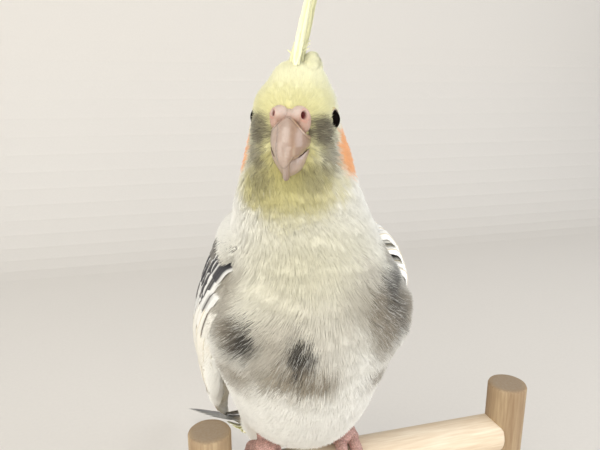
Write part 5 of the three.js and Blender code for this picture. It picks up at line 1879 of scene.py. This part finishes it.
# %% Feet and claws
TOE_R = 2.4
TOE_GAP = 0.45
TOE_SPREAD = 0.28
CLAW_LENGTH = 7.0
PALM_Z = 3.6 - PERCH_DROP
# Toe: x from the middle of the foot, forward or back, reach round the dowel, spread
TOES = ((-2.3, -1, 96, -4), (2.3, -1, 124, 4), (-2.8, 1, 108, -8), (2.8, 1, 76, 8))


def round_dowel(x, angle, radius, way):
    """A point at an angle from the top of the dowel, forward (-1) or back (1)."""
    a = np.radians(angle)
    return np.stack([x, way * radius * np.sin(a), radius * np.cos(a) - DOWEL_R - PERCH_DROP], -1)


def toe_grid(side, x0, way, reach, spread):
    """A tube round the dowel from 8 degrees before its top to reach, with folds in its radius:
    1 + 0.05 * |sin| at every scale + 0.05 * cos at every pad."""
    s = np.linspace(0, 1, 64)
    x = side * (FOOT_X + x0) + s * spread * TOE_SPREAD * side
    path = round_dowel(x, -8 + (reach + 8) * s, DOWEL_R + TOE_GAP + TOE_R, way)
    folds = 1 + 0.05 * np.abs(np.sin(s * 15 * np.pi)) + 0.05 * np.cos(s * 6 * np.pi)
    radius = TOE_R * (1.0 - 0.3 * s) * folds
    radius[-3:] *= np.array([0.97, 0.85, 0.6])
    return tube(path, (radius, radius * 0.95), RIGHTWARD, 20)


def claw_grid(side, x0, way, reach, spread):
    """The toe's curve run on by the claw's length: radius 1.15 * (1 - s) ^ 0.75 + 0.1."""
    s = np.linspace(0, 1, 20)
    radius = DOWEL_R + TOE_GAP + TOE_R
    sweep = np.degrees(CLAW_LENGTH / radius)
    x = side * (FOOT_X + x0) + spread * TOE_SPREAD * side * (1 + 0.3 * s)
    path = round_dowel(x, reach + 0.5 + sweep * s, radius - 0.5 * s, way)
    taper = 1.15 * (1 - s) ** 0.75 + 0.1
    return tube(path, (taper, taper * 1.15), RIGHTWARD, 12)


def palm_and_shank(side):
    """An oval ball on top of the dowel, and a ringed tube from it up into the thigh."""
    palm = ball_grid(24, 30) * np.array([4.9, 4.5, 3.5])
    palm = palm + np.array([side * FOOT_X, 0.4, PALM_Z])
    path = smooth_path([[side * FOOT_X, 1, PALM_Z], [side * FOOT_X, 4, 8 - PERCH_DROP],
                        [side * (FOOT_X - 0.6), 7.5, 13]], 40)
    radius = 2.5 * (1 + 0.05 * np.abs(np.sin(np.linspace(0, 10 * np.pi, 40))))
    return [palm, tube(path, (radius, radius * 1.08), RIGHTWARD, 20)]


def horn_of_claws():
    """Dark horn, mottled, with a thin coat of gloss."""
    settings = {"Roughness": 0.35, "Coat Weight": 0.2}
    material, tree, shader, place = new_material("dark_claw_horn", settings)
    finish_shader(tree, shader, mottled(tree, place, 700.0, 4.0, "3a322d", "75655a")[0])
    return material


foot_skin = skin_material("scaly_foot_skin", "c9a298", "8f6c63", 800.0, 0.62, 0.55)
claw_horn = horn_of_claws()
for side, name in SIDE_NAMES.items():
    grids = [toe_grid(side, *toe) for toe in TOES] + palm_and_shank(side)
    points, faces = join([closed_tube(grid) for grid in grids])
    foot = piece(f"foot_skin_{name}", points, faces, foot_skin,
                 {"plumage": np.ones((len(points), 3))})
    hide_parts(f"foot_{name}")
    for number, toe in enumerate(TOES, 1):
        points, faces = closed_tube(claw_grid(side, *toe))
        claw = piece(f"claw_horn_{name}_{number}", points, faces, claw_horn)
        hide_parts(f"claw_{name}_{number}")


# %% [markdown]
# Perch and rods are turned softwood, sanded but not varnished. The grain runs along each, so
# the noise is stretched along the dowel's own axis. Cut ends are darker and speckled, and
# their rim is rubbed half pale. The rods' sides are painted darker than the perch as painted
# shade, so their cut tops come out lighter than their sides.

# %% Wood
PERCH_Y = -14.0
PERCH_TOP = 92.1
ROD_X = 60.1
ROD_TOP = 106.3
BASE_TOP = 10.3
EDGE, RUB = 0.8, 0.25
DOWEL_SIDES, DOWEL_STEPS = 72, 30


def wood_material(name, axis, pale, dark, end_dark):
    """Sanded pine: long fibres, broad bands, and dark specks where the end is cut."""
    settings = {"Roughness": 0.62, "Specular IOR Level": 0.35}
    material, tree, shader, place = new_material(name, settings)
    shrink = [1.0, 1.0, 1.0]
    shrink[axis] = 0.06
    stretch = add_node(tree, "ShaderNodeMapping", {"Scale": shrink}, {"Vector": place})
    fibre = add_node(tree, "ShaderNodeTexNoise", {"Scale": 1400.0, "Detail": 5.0},
                     {"Vector": stretch.outputs[0]}).outputs[0]
    band = add_node(tree, "ShaderNodeTexNoise", {"Scale": 190.0, "Detail": 2.0, "Distortion": 0.6},
                    {"Vector": stretch.outputs[0]})
    both = add_node(tree, "ShaderNodeMath", {"operation": "MULTIPLY"},
                    {0: fibre, 1: band.outputs[0]})
    share = add_node(tree, "ShaderNodeMapRange", {"From Min": 0.12, "From Max": 0.42},
                     {"Value": both.outputs[0]})
    along = add_node(tree, "ShaderNodeMix", {"data_type": "RGBA", 6: rgba(dark), 7: rgba(pale)},
                     {0: share.outputs[0]})
    cut, _ = mottled(tree, place, 1100.0, 6.0, end_dark, dark)
    end = add_node(tree, "ShaderNodeAttribute", {"attribute_name": "barb"})
    colour = add_node(tree, "ShaderNodeMix", {"data_type": "RGBA"},
                      {0: end.outputs["Fac"], 6: along.outputs[2], 7: cut})
    finish_shader(tree, shader, colour.outputs[2], fibre, 0.3, 0.0002)
    return material


def turned_dowel(start, end, seed):
    """A profile turned round the line from start to end: flat ends, edges rounded by 0.8 mm.
    Returns the rings and a mark for each point: 1 on a cut end, 0.5 at its rim and 0 along."""
    rng = np.random.default_rng(seed)
    rim = [2.5, 5.0, DOWEL_R - EDGE, DOWEL_R - RUB]
    radius = np.array([*rim, *[DOWEL_R] * DOWEL_STEPS, *rim[::-1]])
    length = np.linalg.norm(end - start)
    far = np.concatenate([[0, 0, 0, RUB], np.linspace(EDGE, length - EDGE, DOWEL_STEPS),
                          [length - RUB, length, length, length]])
    way = unit(end - start)
    path = start + way * far[:, None]
    side = unit(np.cross(way, [0.2, 0.3, 1.0] if abs(way[2]) < 0.9 else [1.0, 0, 0]))
    over = np.cross(way, side)
    angle = np.arange(DOWEL_SIDES) / DOWEL_SIDES * 2 * np.pi
    worn = 1 + 0.006 * np.sin(angle * 3 + rng.uniform(0, 6)) + 0.004 * np.sin(angle * 7)
    ring = side * np.cos(angle)[:, None] + over * np.sin(angle)[:, None]
    rings = path[:, None] + ring[None] * (radius[:, None] * worn)[..., None]
    end_mark = np.zeros(len(far))
    end_mark[[0, 1, -2, -1]] = 1
    end_mark[[2, -3]] = 0.5
    return rings, np.concatenate([[1], end_mark, [1]]).repeat(DOWEL_SIDES)


perch_wood = wood_material("sanded_pine_perch", 0, "e4d6c0", "cfb99d", "95795a")
# the rods are the same pine as the perch, painted darker along their sides as painted shade
rod_wood_painted_shade = wood_material("sanded_pine_rods_painted_shade", 2, "b09a7a", "8f765a", "a09483")
base_wood = wood_material("oiled_pine_base", 0, "cdb692", "ae9069", "806648")
DOWELS = {
    "perch": ((-ROD_X + 4, PERCH_Y, PERCH_TOP - DOWEL_R), (ROD_X - 4, PERCH_Y, PERCH_TOP - DOWEL_R),
              perch_wood),
    "stand_rod_left": ((ROD_X, PERCH_Y, BASE_TOP), (ROD_X, PERCH_Y, ROD_TOP), rod_wood_painted_shade),
    "stand_rod_right": ((-ROD_X, PERCH_Y, BASE_TOP), (-ROD_X, PERCH_Y, ROD_TOP), rod_wood_painted_shade),
}
for seed, (name, (start, end, wood)) in enumerate(DOWELS.items()):
    rings, marks = turned_dowel(np.array(start), np.array(end), seed)
    points, faces = closed_tube(rings)
    dowel = piece(f"{name}_dowel", points, faces, wood, {"barb": marks},
                  place=np.zeros(3))
    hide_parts(name)
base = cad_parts["stand_base"]
base.data.materials.clear()
base.data.materials.append(base_wood)


# %% [markdown]
# The studio is a pale floor that curves up into a wall, so that no horizon cuts the picture.
# One large soft light stands high at the front left, as a window would, and one at the right.
# A weaker one from the left and a low one from the front open the shadows, under a pale sky.

# %% Floor and light
FLOOR_FRONT, FLOOR_BACK, BEND_R = -1500, 500, 300
WALL_TOP, HALF_WIDE = 1600, 1800


def sweep_grid():
    """Flat floor, a quarter circle and a wall, carried straight across."""
    turn = np.linspace(0, np.pi / 2, 16)
    y = np.concatenate([[FLOOR_FRONT, FLOOR_BACK], FLOOR_BACK + BEND_R * np.sin(turn),
                        [FLOOR_BACK + BEND_R]])
    z = np.concatenate([[0, 0], BEND_R - BEND_R * np.cos(turn), [WALL_TOP]])
    x = np.linspace(-HALF_WIDE, HALF_WIDE, 5)
    return np.stack(np.broadcast_arrays(x[None], y[:, None], z[:, None]), -1)


def paper_material():
    """Matt background paper with a trace of grain."""
    settings = {"Roughness": 0.95, "Specular IOR Level": 0.1}
    material, tree, shader, place = new_material("matt_backdrop_paper", settings)
    finish_shader(tree, shader, mottled(tree, place, 400.0, 2.0, "dbd7d1", "e0dcd6")[0])
    return material


sweep = sweep_grid()
sweep_mesh = bpy.data.meshes.new("backdrop")
sweep_mesh.from_pydata((sweep.reshape(-1, 3) * MM).tolist(), [],
                       grid_faces(*sweep.shape[:2], closed=False).tolist())
sweep_mesh.materials.append(paper_material())
backdrop = add_object("backdrop", sweep_mesh)
backdrop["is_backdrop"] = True


def soft_light(name, place, aim, size, watts, tint):
    """A square light of a size in metres, turned about X and then Z to face a point."""
    data = bpy.data.lights.new(name, "AREA")
    data.size = size
    data.energy = watts
    data.color = tuple(linear(tint))
    light = add_object(name, data)
    light.location = place
    way = np.array(aim) - np.array(place)
    flat = np.hypot(way[0], way[1])
    light.rotation_euler = (np.arctan2(flat, -way[2]), 0, np.arctan2(way[1], way[0]) - np.pi / 2)


# Light: place, aim, size, watts and colour
LIGHTS = {"window_light": ((-0.5, -0.6, 1.0), (0, 0, 0.15), 0.8, 7.6, "fffaf2"),
          "fill_light": ((0.9, -0.5, 0.5), (0, 0, 0.15), 0.9, 7.6, "f8faff"),
          "side_light": ((-1.0, -0.2, 0.3), (0, 0, 0.15), 0.8, 4.5, "fffdf8"),
          "low_light": ((-0.2, -0.9, 0.06), (0, 0, 0.06), 0.7, 5.2, "fffdf6")}
SKY_COLOUR, SKY_STRENGTH = "f2f4f6", 0.46
for name, settings in LIGHTS.items():
    soft_light(name, *settings)
sky = bpy.data.worlds.new("soft_sky")
sky.use_nodes = True
background = sky.node_tree.nodes["Background"]
background.inputs["Color"].default_value = rgba(SKY_COLOUR)
background.inputs["Strength"].default_value = SKY_STRENGTH
bpy.context.scene.world = sky
bpy.context.scene.view_settings.view_transform = "Standard"
print("four soft lights and a pale sky")


# %% [markdown]
# Last, the box of the dressed model is set beside the box of the solids: plumage may stand a
# few millimetres proud, and nothing else changes the size.

# %% Sizes and finish
visual_box = [list(corner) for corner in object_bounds()]
print("dressed model reaches from", np.round(visual_box[0], 4), "to", np.round(visual_box[1], 4))
